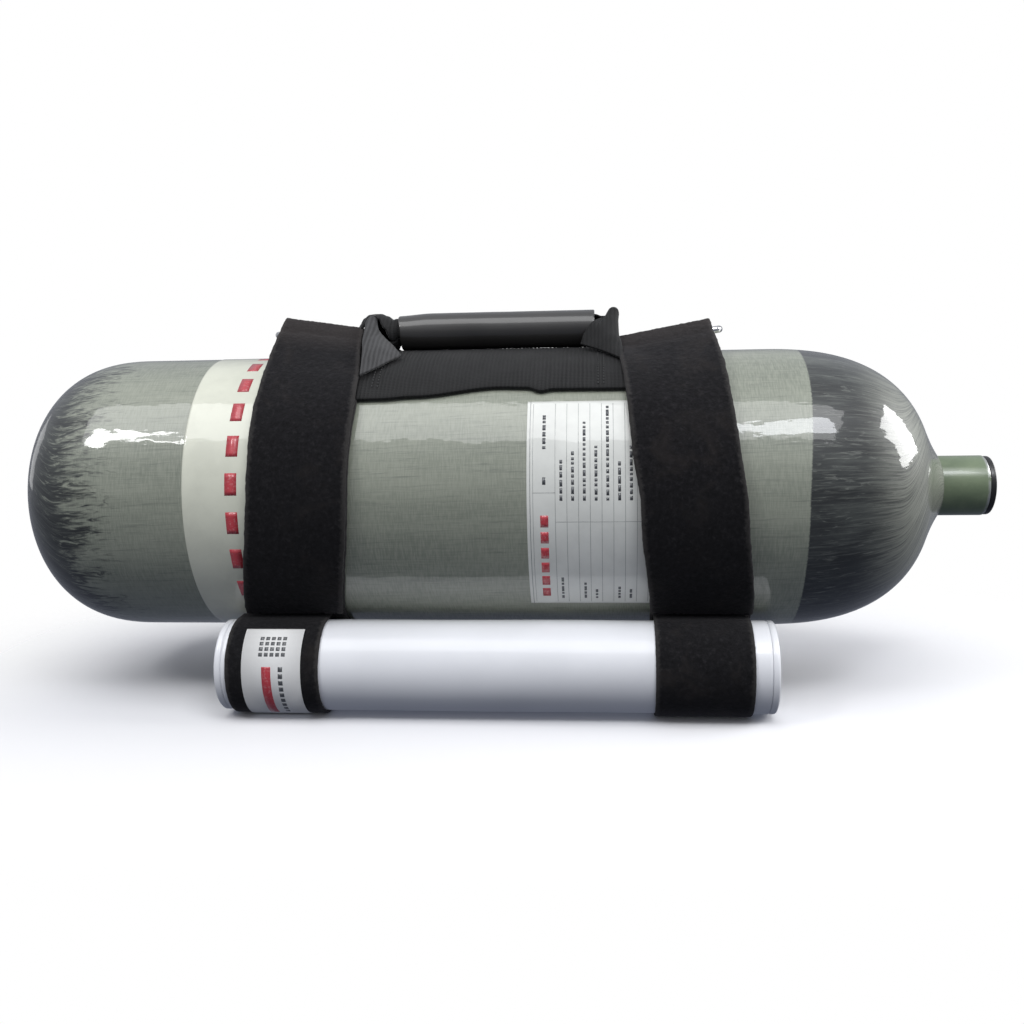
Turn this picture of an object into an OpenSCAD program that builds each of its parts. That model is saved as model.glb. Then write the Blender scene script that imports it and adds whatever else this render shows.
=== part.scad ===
// Composite breathing-air cylinder held in a two-strap carrier, with a webbing
// handle on top and two support tubes below. Millimetres. +X runs along the
// cylinder towards its neck, -Y is the front, +Z is up. The origin is on the
// ground under the middle of the object.

/* [Cylinder] */
// Outside diameter of the wrapped cylinder
cylinder_d = 158; // [154:1:164]
// Length from the tip of the closed dome to the end of the neck
cylinder_l = 548; // [530:1:580]
// Depth of the closed dome
base_dome_l = 67.5; // [60:0.5:75]
// Length of the neck dome, from the straight wall to the neck
neck_dome_l = 100.5; // [90:0.5:110]
// Fullness of both domes, where 2 is an ellipse and more is squarer
dome_power = 2.55; // [2.2:0.05:2.8]
// Thickness of the outer glass fibre layer
glass_wall = 1.4; // [1:0.1:2]
// Thickness of the carbon fibre layer
carbon_wall = 7.6; // [6:0.1:9]
// Thickness of the aluminium liner
liner_wall = 2.5; // [2:0.1:3.5]

/* [Neck and plug] */
// Diameter of the neck
neck_d = 34; // [32:0.5:36]
// Length of the neck outside the dome
neck_l = 25.5; // [24:0.1:32]
// Bore of the neck at the crests of its thread
port_d = 16.4; // [16:0.1:18]
// Thickness of the plug's flange
plug_flange_t = 3.2; // [3:0.1:7]
// Length of the plug's threaded stem
plug_stem_l = 16; // [14:0.5:20]

/* [Markings] */
// Width of the marking band round the cylinder
marking_w = 74; // [40:1:90]
// Distance of the marking band's middle from the middle of the object
marking_x = -127.5; // [-140:0.5:-110]
// Width of the data label along the cylinder
label_w = 92; // [60:1:110]
// Distance of the data label's near edge from the middle of the object
label_x = 19; // [5:0.5:25]
// Height of the data label, as an angle round the cylinder
label_angle = 104; // [60:1:110]

/* [Straps] */
// Distance between the middles of the two straps, at the height of the axis
strap_pitch = 208.5; // [200:0.5:215]
// Distance of the carrier's middle from the middle of the object
carrier_x = 0.5; // [-10:0.25:10]
// Width of the straps
strap_w = 53; // [50:1:58]
// Thickness of one layer of strap
strap_t = 2.4; // [2:0.1:3]
// Sideways lean of the left strap, spreading downwards, per unit of height
left_lean = 0.04; // [0:0.01:0.15]
// Sideways lean of the right strap, spreading downwards, per unit of height
right_lean = 0.12; // [0:0.01:0.15]
// Diameter of the wire of the cinch rings
ring_wire = 4; // [3:0.5:5]
// Distance between the two long bars of a cinch ring
ring_gap = 16; // [15:0.5:20]
// Height of the left cinch ring above the cylinder
left_ring_lift = 12; // [7.5:0.5:14]
// Height of the right cinch ring above the cylinder
right_ring_lift = 7.5; // [7.5:0.5:14]

/* [Handle] */
// Outside diameter of the grip
grip_d = 21; // [19:0.5:25]
// Length of the grip
grip_l = 112; // [105:1:120]
// How far the grip sits towards the neck from the middle of the carrier
grip_shift = -2.5; // [-6:0.25:6]
// Wall thickness of the grip
grip_wall = 2.5; // [2:0.5:4]
// Reach of the saddle webbing down each side, as an angle from the top
saddle_angle = 42; // [35:1:45]

/* [Support tubes] */
// Outside diameter of the support tubes
tube_d = 49.5; // [45:0.5:55]
// Length of a support tube with its end caps
tube_l = 299; // [280:1:320]
// Wall thickness of the support tubes
tube_wall = 2.5; // [2:0.5:4]
// How far the tubes sit towards the neck in their loops
tube_shift = -1.5; // [-5:0.25:5]
// Angle of each tube from straight below the cylinder
tube_angle = 35.5; // [32:0.5:38]
// Distance between the middles of the loops on one tube
loop_pitch = 228.5; // [220:0.5:235]
// How far the loops sit towards the neck from the middle of the carrier
loop_shift = -4.5; // [-8:0.25:8]
// Width of the tube loops
loop_w = 51; // [45:1:55]
// Thickness of the tube loops
loop_t = 1.4; // [1.2:0.1:3]

/* [Hidden] */
$fn = 96;

LEFT = -1;
RIGHT = 1;
FRONT = -1;
REAR = 1;

// Gap between soft pieces that move past each other
clearance = 0.3;
// Gap under a piece that is glued or sewn flat on a round surface
seat_gap = 0.04;
// Gap between the hook tape and the tail it is sewn to
hook_gap = 0.1;
film_t = 0.2;
hook_t = 0.8;
// Play of the strap in its ring, along X
ring_play = 6;
// Play of the rolled webbing inside the grip
core_play = 0.1;
cylinder_r = cylinder_d / 2;
overall_l = cylinder_l + plug_flange_t;
base_x = -overall_l / 2;
neck_x = base_x + cylinder_l;
shoulder_x = neck_x - neck_l;
base_wall_x = base_x + base_dome_l;
neck_wall_x = shoulder_x - neck_dome_l;

// The strap lies against the cylinder, over the marking band and the label
band_r = cylinder_r + film_t + clearance + strap_t / 2;
band_outer_r = band_r + strap_t / 2;
tail_r = band_outer_r + clearance + hook_t + strap_t / 2;
// Radii at which the band and the tail bend round a bar of the ring
band_bend_r = ring_wire / 2 + clearance + strap_t / 2;
tail_bend_r = ring_wire / 2 + clearance + strap_t / 2 + clearance + strap_t / 2;
tail_end_angle = 270 - tube_angle - 10;
ring_l = strap_w + ring_play;

grip_z = band_outer_r + clearance + grip_d / 2;
core_r = grip_d / 2 - grip_wall - core_play;

tube_r = tube_d / 2;
loop_r = tube_r + clearance + loop_t;
tube_reach = band_outer_r + loop_r;
tube_x = carrier_x + tube_shift;
function loop_x(side) = carrier_x + loop_shift + side * loop_pitch / 2;
tube_y = tube_reach * sin(tube_angle);
tube_drop = tube_reach * cos(tube_angle);
cap_t = 4;
axis_z = tube_drop + loop_r;

function angle_of(p) = atan2(p[1], p[0]);

function lean(side) = side == LEFT ? left_lean : right_lean;

// Height of a side's cinch ring above the axis
function bar_z(side) = cylinder_r + (side == LEFT ? left_ring_lift : right_ring_lift);

// Distance of a side's ring from the middle of the carrier
function ring_x(side) = strap_pitch / 2 - lean(side) * bar_z(side);

// A bar of the ring in the Y-Z plane, counted from the axis
function bar(side, face) = [face * ring_gap / 2, bar_z(side)];

// Angle at which a strip round the cylinder leaves it for a bend of radius
// bend_r round a bar, on the bar's outside, or on its inside where bend_r is
// negative
function leaving_angle(side, face, r, bend_r) =
    angle_of(bar(side, face)) - face * acos((r - bend_r) / norm(bar(side, face)));

function direction(a) = [cos(a), sin(a)];

// Points of an arc round a centre
function arc(r, from, to, steps, centre = [0, 0]) =
    [for (i = [0:steps]) centre + r * direction(from + (to - from) * i / steps)];

function heading(path, i) =
    let (span = path[min(i + 1, len(path) - 1)] - path[max(i - 1, 0)])
    span / norm(span);

// A copy of the path, moved sideways by d
function beside(path, d) =
    [for (i = [0:len(path) - 1]) let (h = heading(path, i)) path[i] + d * [-h[1], h[0]]];

function reversed(path) = [for (i = [len(path) - 1:-1:0]) path[i]];

// Quarter outline of a dome, from its straight wall (t = 0) to its tip (t = 90)
function dome_point(r, l, t) =
    [r * pow(cos(t), 2 / dome_power), l * pow(sin(t), 2 / dome_power)];

// A strip of webbing seen edge on
module ribbon(path, t) {
    polygon(concat(beside(path, t / 2), reversed(beside(path, -t / 2))));
}

// Stands an outline in the Y-Z plane up and gives it a width along X
module across(w) {
    rotate([90, 0, 90]) linear_extrude(w, center = true) children();
}

// Turns an outline round the cylinder's axis
module around_axis() {
    translate([0, 0, axis_z]) rotate([0, 90, 0]) rotate_extrude() children();
}

// Solid outline of the cylinder at a given depth under its outer surface
module cylinder_outline(depth) {
    steps = 24;
    // The neck dome leaves its curve here and runs straight into the neck
    last = 66;
    curve_share = 0.94;
    neck_curve_l = curve_share * neck_dome_l;
    r = cylinder_r - depth;
    base = [for (i = [steps:-1:0]) dome_point(r, base_dome_l - depth, 90 * i / steps)];
    neck = [for (i = [0:steps]) dome_point(r, neck_curve_l - depth, last * i / steps)];
    polygon(concat(
        [for (p = base) [p[0], base_wall_x - p[1]]],
        [for (p = neck) [p[0], neck_wall_x + p[1]]],
        [[neck_d / 2, shoulder_x - depth], [0, shoulder_x - depth]]
    ));
}

module neck_outline() {
    chamfer = 1;
    flare = 1.5;
    start = shoulder_x - glass_wall - carbon_wall - liner_wall;
    polygon([
        [0, start],
        [neck_d / 2 + flare, start],
        [neck_d / 2, shoulder_x],
        [neck_d / 2, neck_x - chamfer],
        [neck_d / 2 - chamfer, neck_x],
        [0, neck_x],
    ]);
}

module liner() {
    gland_d = 22.4;
    gland_l = 3.2;
    inside = glass_wall + carbon_wall + liner_wall;
    color("darkseagreen") around_axis() difference() {
        union() {
            cylinder_outline(glass_wall + carbon_wall);
            neck_outline();
        }
        cylinder_outline(inside);
        translate([0, shoulder_x - inside - 1]) square([port_d / 2, neck_l + inside + 2]);
        translate([0, neck_x - gland_l]) square([gland_d / 2, gland_l + 1]);
    }
}

module carbon_overwrap() {
    color("dimgray") around_axis() difference() {
        cylinder_outline(glass_wall);
        cylinder_outline(glass_wall + carbon_wall);
        neck_outline();
    }
}

module glass_overwrap() {
    color("gray") around_axis() difference() {
        cylinder_outline(0);
        cylinder_outline(glass_wall);
        neck_outline();
    }
}

module marking_band() {
    color("ivory") around_axis()
        translate([cylinder_r, marking_x - marking_w / 2]) square([film_t, marking_w]);
}

module data_label() {
    middle = 180;
    r = cylinder_r + seat_gap + film_t / 2;
    steps = 30;
    outline = arc(r, middle - label_angle / 2, middle + label_angle / 2, steps);
    color("white") translate([label_x + label_w / 2, 0, axis_z]) across(label_w)
        ribbon(outline, film_t);
}

module neck_plug() {
    flange_d = neck_d - 0.8;
    stem_d = port_d - 0.2;
    key_d = 10;
    key_l = 3;
    edge = 0.8;
    color("black") difference() {
        around_axis() polygon([
            [0, neck_x - plug_stem_l],
            [stem_d / 2, neck_x - plug_stem_l],
            [stem_d / 2, neck_x],
            [flange_d / 2, neck_x],
            [flange_d / 2, neck_x + plug_flange_t - edge],
            [flange_d / 2 - edge, neck_x + plug_flange_t],
            [0, neck_x + plug_flange_t],
        ]);
        translate([neck_x + plug_flange_t - key_l, 0, axis_z]) rotate([0, 90, 0])
            cylinder(d = key_d, h = key_l + 1, $fn = 6);
    }
}

module plug_oring() {
    ring_r = 9.7;
    section_r = 1.3;
    depth = 0.05;
    color("black") around_axis()
        translate([ring_r, neck_x - section_r - depth]) circle(r = section_r);
}

// Puts a strap piece in its place on one side, leaning with its height
module on_strap(side) {
    translate([carrier_x + side * strap_pitch / 2, 0, axis_z])
        multmatrix([[1, 0, -side * lean(side), 0], [0, 1, 0, 0], [0, 0, 1, 0], [0, 0, 0, 1]])
            children();
}

// Inner strap: sewn back round the rear bar, down the back, under the cylinder,
// up the front, under the front bar and half way round it
module strap_band(side) {
    rear_wrap = 280;
    rear_steps = 24;
    front_wrap = 190;
    front_steps = 10;
    round_steps = 74;
    rear_angle = leaving_angle(side, REAR, band_r, band_bend_r);
    front_angle = leaving_angle(side, FRONT, band_r, -band_bend_r);
    run = concat(
        arc(band_bend_r, rear_angle + rear_wrap, rear_angle, rear_steps, bar(side, REAR)),
        arc(band_r, rear_angle, front_angle - 360, round_steps),
        [bar(side, FRONT) - band_bend_r * direction(front_angle)]
    );
    turn_r = band_bend_r - strap_t / 4;
    turn = arc(turn_r, front_angle - front_wrap, 90, front_steps, bar(side, FRONT));
    color("black") on_strap(side) across(strap_w) {
        ribbon(run, strap_t);
        ribbon(turn, strap_t / 2);
    }
}

// Outer strap: over the front bar and down the front, over the inner strap
module strap_tail(side) {
    bend_start = 60;
    bend_steps = 8;
    run_steps = 26;
    front_angle = leaving_angle(side, FRONT, tail_r, tail_bend_r);
    run = concat(
        arc(tail_bend_r, bend_start, front_angle, bend_steps, bar(side, FRONT)),
        arc(tail_r, front_angle, tail_end_angle, run_steps)
    );
    color([0.15, 0.15, 0.16]) on_strap(side) across(strap_w) ribbon(run, strap_t);
}

// Hook tape sewn to the inside of the tail
module hook_patch(side) {
    start = 155;
    end = tail_end_angle - 1;
    steps = 18;
    margin = 5;
    r = tail_r - strap_t / 2 - hook_gap - hook_t / 2;
    color("dimgray") on_strap(side) across(strap_w - 2 * margin)
        ribbon(arc(r, start, end, steps), hook_t);
}

// Rectangular wire ring that the strap is tightened through
module cinch_ring(side) {
    color("silver") translate([
        carrier_x + side * ring_x(side), 0, axis_z + bar_z(side)
    ]) {
        for (y = [-1, 1] * ring_gap / 2) translate([0, y, 0]) rotate([0, 90, 0])
            cylinder(d = ring_wire, h = ring_l, center = true);
        for (x = [-1, 1] * ring_l / 2) translate([x, 0, 0]) rotate([90, 0, 0])
            cylinder(d = ring_wire, h = ring_gap, center = true);
        for (x = [-1, 1] * ring_l / 2, y = [-1, 1] * ring_gap / 2) translate([x, y, 0])
            sphere(d = ring_wire);
    }
}

module at_tube(face) {
    translate([0, face * tube_y, axis_z - tube_drop]) children();
}

// Loop of webbing round a support tube, sewn to the outside of the strap
module tube_loop(side, face) {
    seam_w = 16;
    seam_l = 1.5;
    color("black") at_tube(face) translate([loop_x(side), 0, 0])
        across(loop_w) difference() {
            union() {
                circle(r = loop_r);
                rotate(face * tube_angle) translate([-seam_w / 2, 0]) square([seam_w, tube_reach]);
            }
            circle(r = tube_r + clearance);
            translate([-face * tube_y, tube_drop]) circle(r = band_outer_r);
            // The seam ends at the strap
            rotate(face * tube_angle) translate([-seam_w, loop_r + seam_l])
                square([2 * seam_w, tube_reach]);
        }
}

module loop_label() {
    label_w = 32;
    top = 118;
    bottom = 252;
    steps = 30;
    r = loop_r + seat_gap + film_t / 2;
    color("white") at_tube(FRONT) translate([loop_x(LEFT), 0, 0])
        across(label_w) ribbon(arc(r, top, bottom, steps), film_t);
}

// Saddle of webbing between the straps, under the grip
module saddle_webbing() {
    steps = 20;
    reach = 2 * cylinder_d;
    color([0.2, 0.2, 0.21]) difference() {
        translate([carrier_x, 0, axis_z]) across(strap_pitch)
            ribbon(arc(band_r, 90 - saddle_angle, 90 + saddle_angle, steps), strap_t);
        for (side = [LEFT, RIGHT]) on_strap(side) cube([strap_w, reach, reach], center = true);
    }
}

module at_grip() {
    translate([carrier_x + grip_shift, 0, axis_z + grip_z]) rotate([0, 90, 0]) children();
}

// Rolled webbing inside the grip
module handle_core() {
    color("black") at_grip() cylinder(r = core_r, h = grip_l + clearance * 2, center = true);
}

// Webbing that spreads from the end of the grip down to the saddle, beside the ring
module webbing_fold(side) {
    edge_x = ring_x(side) - (ring_l + ring_wire) / 2 - clearance - side * grip_shift;
    start_x = grip_l / 2 + clearance;
    foot_t = 1;
    foot_w = 32;
    foot_h = 18;
    color("black") translate([carrier_x + grip_shift, 0, axis_z + grip_z]) hull() {
        translate([side * (start_x + foot_t / 2), 0, 0]) rotate([0, 90, 0])
            cylinder(r = core_r, h = foot_t, center = true, $fn = 32);
        translate([side * (edge_x - foot_t / 2), 0, (grip_d - foot_h) / 2])
            cube([foot_t, foot_w, foot_h], center = true);
    }
}

module handle_grip() {
    color([0.05, 0.05, 0.05]) at_grip() difference() {
        cylinder(d = grip_d, h = grip_l, center = true);
        cylinder(d = grip_d - 2 * grip_wall, h = grip_l + 2, center = true);
    }
}

module support_tube(face) {
    wall_l = tube_l - 2 * cap_t;
    color("white") at_tube(face) translate([tube_x, 0, 0]) rotate([0, 90, 0]) difference() {
        cylinder(d = tube_d, h = wall_l, center = true);
        cylinder(d = tube_d - 2 * tube_wall, h = wall_l + 2, center = true);
    }
}

// Push-in end cap with a rounded rim and a skirt inside the tube
module tube_cap(side, face) {
    rim_r = 3;
    skirt_l = 14;
    skirt_t = 2;
    skirt_gap = 0.05;
    skirt_r = tube_r - tube_wall - skirt_gap;
    color("whitesmoke") at_tube(face) translate([tube_x + side * tube_l / 2, 0, 0])
        rotate([0, -side * 90, 0]) rotate_extrude() {
            square([tube_r - rim_r, cap_t]);
            translate([0, rim_r]) square([tube_r, cap_t - rim_r]);
            intersection() {
                translate([tube_r - rim_r, rim_r]) circle(r = rim_r);
                square([tube_r, rim_r]);
            }
            translate([skirt_r - skirt_t, cap_t - 1]) square([skirt_t, skirt_l]);
        }
}

liner();
carbon_overwrap();
glass_overwrap();
marking_band();
data_label();
neck_plug();
plug_oring();
strap_band(LEFT);  // left_band
strap_band(RIGHT);  // right_band
strap_tail(LEFT);  // left_tail
strap_tail(RIGHT);  // right_tail
hook_patch(LEFT);  // left_hook_patch
hook_patch(RIGHT);  // right_hook_patch
cinch_ring(LEFT);  // left_ring
cinch_ring(RIGHT);  // right_ring
tube_loop(LEFT, FRONT);  // left_front_loop
tube_loop(LEFT, REAR);  // left_rear_loop
tube_loop(RIGHT, FRONT);  // right_front_loop
tube_loop(RIGHT, REAR);  // right_rear_loop
loop_label();
saddle_webbing();
handle_core();
webbing_fold(LEFT);  // left_fold
webbing_fold(RIGHT);  // right_fold
handle_grip();
support_tube(FRONT);  // front_tube
support_tube(REAR);  // rear_tube
tube_cap(LEFT, FRONT);  // front_left_cap
tube_cap(RIGHT, FRONT);  // front_right_cap
tube_cap(LEFT, REAR);  // rear_left_cap
tube_cap(RIGHT, REAR);  // rear_right_cap
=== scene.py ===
"""Composite breathing-air cylinder in a strap carrier: the looks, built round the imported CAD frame.

Metres, in the CAD's frame: +X along the cylinder to its neck, -Y the front, +Z up, ground at z = 0.
"""
import math
import random

import bmesh
import bpy
from mathutils import Matrix, Vector, noise


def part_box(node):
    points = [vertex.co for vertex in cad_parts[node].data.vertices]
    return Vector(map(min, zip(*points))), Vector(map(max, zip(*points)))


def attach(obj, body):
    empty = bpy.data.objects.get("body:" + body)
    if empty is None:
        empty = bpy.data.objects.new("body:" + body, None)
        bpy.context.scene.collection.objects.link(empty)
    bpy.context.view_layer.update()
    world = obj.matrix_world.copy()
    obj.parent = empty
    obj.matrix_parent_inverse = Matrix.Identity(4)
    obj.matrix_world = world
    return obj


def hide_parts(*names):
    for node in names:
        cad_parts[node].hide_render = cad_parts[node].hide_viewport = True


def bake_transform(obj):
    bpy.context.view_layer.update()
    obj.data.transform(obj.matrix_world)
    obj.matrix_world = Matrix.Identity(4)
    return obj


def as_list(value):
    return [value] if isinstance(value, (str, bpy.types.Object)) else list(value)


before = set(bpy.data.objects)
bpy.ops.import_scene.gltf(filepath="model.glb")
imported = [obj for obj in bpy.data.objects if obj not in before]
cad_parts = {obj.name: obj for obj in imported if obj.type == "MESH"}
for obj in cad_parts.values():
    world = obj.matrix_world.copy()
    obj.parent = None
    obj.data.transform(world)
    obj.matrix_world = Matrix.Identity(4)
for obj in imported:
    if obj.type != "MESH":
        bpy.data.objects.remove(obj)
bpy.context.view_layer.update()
MM = 0.001

# Places taken from the frame
shell_lo, shell_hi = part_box("glass_overwrap")
tube_lo, tube_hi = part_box("front_tube")
plug_lo, plug_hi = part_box("neck_plug")
grip_lo, grip_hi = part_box("handle_grip")
AXIS_Z = (shell_lo.z + shell_hi.z) / 2
BASE_X, SHOULDER_X = shell_lo.x, shell_hi.x
NECK_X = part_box("liner")[1].x
PLUG_X = plug_hi.x
TUBE_Y = -(tube_lo.y + tube_hi.y) / 2
TUBE_Z = (tube_lo.z + tube_hi.z) / 2
TUBE_R = (tube_hi.z - tube_lo.z) / 2
GRIP_Z = (grip_lo.z + grip_hi.z) / 2
AXIS = (0.0, AXIS_Z)

# Sizes that the CAD shares
CYL_R = 79 * MM
BASE_DOME, NECK_DOME, DOME_POWER = 67.5 * MM, 100.5 * MM, 2.55
NECK_R = 17 * MM
PORT_R = 8.2 * MM
FILM_R = CYL_R + 0.2 * MM
BAND_R = 80.7 * MM  # middle layer of the strap on the cylinder
TAIL_R = 84.2 * MM  # and of the tail over it
STRAP_T = 2.4 * MM
RING_HALF_GAP = 8 * MM
BEND_R = 3.5 * MM
LOOP_T, LOOP_HALF = 1.3 * MM, 25.4 * MM
LOOP_R = TUBE_R + 0.3 * MM + LOOP_T / 2
TUBE_TILT = 35.5  # degrees from straight down, where a strap meets its tubes
GRIP_R, GRIP_BORE_R = 10.5 * MM, 8.2 * MM

# Sizes of the cloth before it was sewn: width and length
STRAP_CUT = 53 * MM
WEBBING_CUT = 50 * MM
SADDLE_CUT = (151.5 * MM, 120 * MM)
HANDLE_CUTS = {"left_handle_roll": (WEBBING_CUT, 31 * MM),
               "right_handle_roll": (WEBBING_CUT, 22 * MM),
               "left_handle_lapel": (20 * MM, 42 * MM),
               "right_handle_twist": (20 * MM, 36 * MM)}
LABEL_TOP, LABEL_BOTTOM = 118, 252  # degrees round the left front loop
cut_length = {}  # of each strap and loop, filled in as it is made

# Steps round the cylinder, round the tubes and round the small parts
FINE, ROUND, SMALL = 288, 128, 96

LEFT, RIGHT, FRONT, REAR = -1, 1, -1, 1
SIDE_NAME = {LEFT: "left", RIGHT: "right"}
FACE_NAME = {FRONT: "front", REAR: "rear"}


# ---------------------------------------------------------------- small helpers

def smooth(edge0, edge1, value):
    """0 before edge0, 1 after edge1, smooth between."""
    t = min(1.0, max(0.0, (value - edge0) / (edge1 - edge0)))
    return t * t * (3 - 2 * t)


def mix(a, b, t):
    return a + (b - a) * t


def straight(edge0, edge1, value):
    return (value - edge0) / (edge1 - edge0)


def keyed(keys, at, ease=smooth):
    """Values at a position among (position, value, ...) rows, sorted by position."""
    if at <= keys[0][0]:
        return keys[0][1:]
    for a, b in zip(keys, keys[1:]):
        if at <= b[0]:
            t = ease(a[0], b[0], at)
            return tuple(mix(p, q, t) for p, q in zip(a[1:], b[1:]))
    return keys[-1][1:]


def on_circle(radius, angle, centre=(0.0, 0.0)):
    """A point (y, z) on a circle; angle 0 is +Y and 90 degrees is up."""
    return (centre[0] + radius * math.cos(angle), centre[1] + radius * math.sin(angle))


def arc(radius, start, end, steps, centre=(0.0, 0.0)):
    return [on_circle(radius, mix(start, end, i / steps), centre) for i in range(steps + 1)]


def even_points(points, count):
    """The open polyline in count steps of equal length."""
    lengths = [math.dist(a, b) for a, b in zip(points, points[1:])]
    out, i, done = [], 0, 0.0
    for k in range(count + 1):
        target = sum(lengths) * k / count
        while i < len(lengths) - 1 and done + lengths[i] < target:
            done += lengths[i]
            i += 1
        t = (target - done) / lengths[i] if lengths[i] else 0.0
        out.append(tuple(mix(a, b, min(1.0, t)) for a, b in zip(points[i], points[i + 1])))
    return out


def resampled(points, spacing):
    """The open polyline with points about this far apart."""
    total = sum(math.dist(a, b) for a, b in zip(points, points[1:]))
    return even_points(points, max(2, round(total / spacing)))


def headings(path):
    """Unit direction of the path at each of its points."""
    out = []
    for i in range(len(path)):
        a, b = path[max(i - 1, 0)], path[min(i + 1, len(path) - 1)]
        d = [q - p for p, q in zip(a, b)]
        n = math.sqrt(sum(c * c for c in d))
        out.append(tuple(c / n for c in d))
    return out


def stations(path):
    """Each (y, z) of a path, with the normal to its left and the length up to it."""
    along = 0.0
    for i, ((y, z), (dy, dz)) in enumerate(zip(path, headings(path))):
        if i:
            along += math.dist(path[i - 1], path[i])
        yield y, z, dz, -dy, along


def pushed_out(y, z, least):
    """(y, z) over the cylinder's axis, moved away from it where it is nearer than least."""
    r = math.hypot(y, z)
    return (y, z) if r >= least else (y * least / r, z * least / r)


def new_object(name, verts, faces, uvs=None, attributes=None):
    """A smooth-shaded mesh object, with a UV per vertex and vector attributes where given."""
    mesh = bpy.data.meshes.new(name)
    mesh.from_pydata([tuple(v) for v in verts], [], faces)
    if uvs:
        layer = mesh.uv_layers.new(name="UVMap")
        for loop in mesh.loops:
            layer.data[loop.index].uv = uvs[loop.vertex_index]
    for key, values in (attributes or {}).items():
        attribute = mesh.attributes.new(key, "FLOAT_VECTOR", "POINT")
        for i, value in enumerate(values):
            attribute.data[i].vector = value
    mesh.shade_smooth()
    mesh.update()
    obj = bpy.data.objects.new(name, mesh)
    bpy.context.scene.collection.objects.link(obj)
    return obj


def loft(name, rings, capped=True, looped=False, uvs=None, attributes=None, fan=True):
    """Quads between successive closed rings of points. Caps close the first and last ring:
    fans about a middle point, or one polygon each where the ring bends too far for that."""
    n = len(rings[0])
    verts = [p for ring in rings for p in ring]
    faces = []
    count = len(rings)
    for i in range(count if looped else count - 1):
        j = (i + 1) % count
        for k in range(n):
            m = (k + 1) % n
            faces.append((i * n + k, i * n + m, j * n + m, j * n + k))
    flat_uvs = [uv for ring in uvs for uv in ring] if uvs else None
    flat_attributes = {key: [value for ring in rows for value in ring]
                       for key, rows in (attributes or {}).items()}
    if capped and not looped:
        for start in (0, (count - 1) * n):
            if not fan:
                faces.append(tuple(range(start, start + n)))
                continue
            ring = verts[start:start + n]
            verts.append(sum((Vector(p) for p in ring), Vector()) / n)
            centre = len(verts) - 1
            for k in range(n):
                pair = (start + k, start + (k + 1) % n)
                faces.append((centre, *pair) if start else (centre, *reversed(pair)))
            if flat_uvs:
                flat_uvs.append(flat_uvs[start])
            for values in flat_attributes.values():
                values.append(values[start])
    obj = new_object(name, verts, faces, flat_uvs, flat_attributes)
    recalculate_normals(obj)
    return obj


def recalculate_normals(obj):
    bm = bmesh.new()
    bm.from_mesh(obj.data)
    bmesh.ops.recalc_face_normals(bm, faces=bm.faces)
    bm.to_mesh(obj.data)
    bm.free()


def turned(name, profile, segments, centre=AXIS, bump=None, capped=True, looped=False):
    """A profile of (x, radius) turned round an axis along X through (y, z) = centre.

    bump(x, radius, angle) gives a change of radius. The mesh carries 'wrap', a seamless
    coordinate: length along the profile, then the cosine and sine of the angle round it.
    """
    rings, wraps, uvs = [], [], []
    along = 0.0
    for i, (x, r) in enumerate(profile):
        if i:
            along += math.dist(profile[i - 1], (x, r))
        ring, wrap, uv = [], [], []
        for k in range(segments):
            angle = 2 * math.pi * k / segments
            rr = r + (bump(x, r, angle) if bump else 0.0)
            y, z = on_circle(rr, angle, centre)
            ring.append((x, y, z))
            wrap.append((along, math.cos(angle), math.sin(angle)))
            uv.append((along, angle * max(r, 1 * MM)))
        rings.append(ring)
        wraps.append(wrap)
        uvs.append(uv)
    return loft(name, rings, capped, looped, uvs, {"wrap": wraps})


def rounded_profile(points, radius, steps):
    """The profile with a bend in place of each corner between its ends."""
    out = [points[0]]
    for a, b, c in zip(points, points[1:], points[2:]):
        r = min(radius, math.dist(a, b) / 2.1, math.dist(b, c) / 2.1)
        start = tuple(mix(q, p, r / math.dist(a, b)) for p, q in zip(a, b))
        end = tuple(mix(q, p, r / math.dist(b, c)) for p, q in zip(c, b))
        for i in range(steps + 1):
            t = i / steps
            out.append(tuple(
                (1 - t) ** 2 * s + 2 * t * (1 - t) * m + t * t * e for s, m, e in zip(start, b, end)
            ))
    out.append(points[-1])
    return out


# ---------------------------------------------------------------- materials

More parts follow.
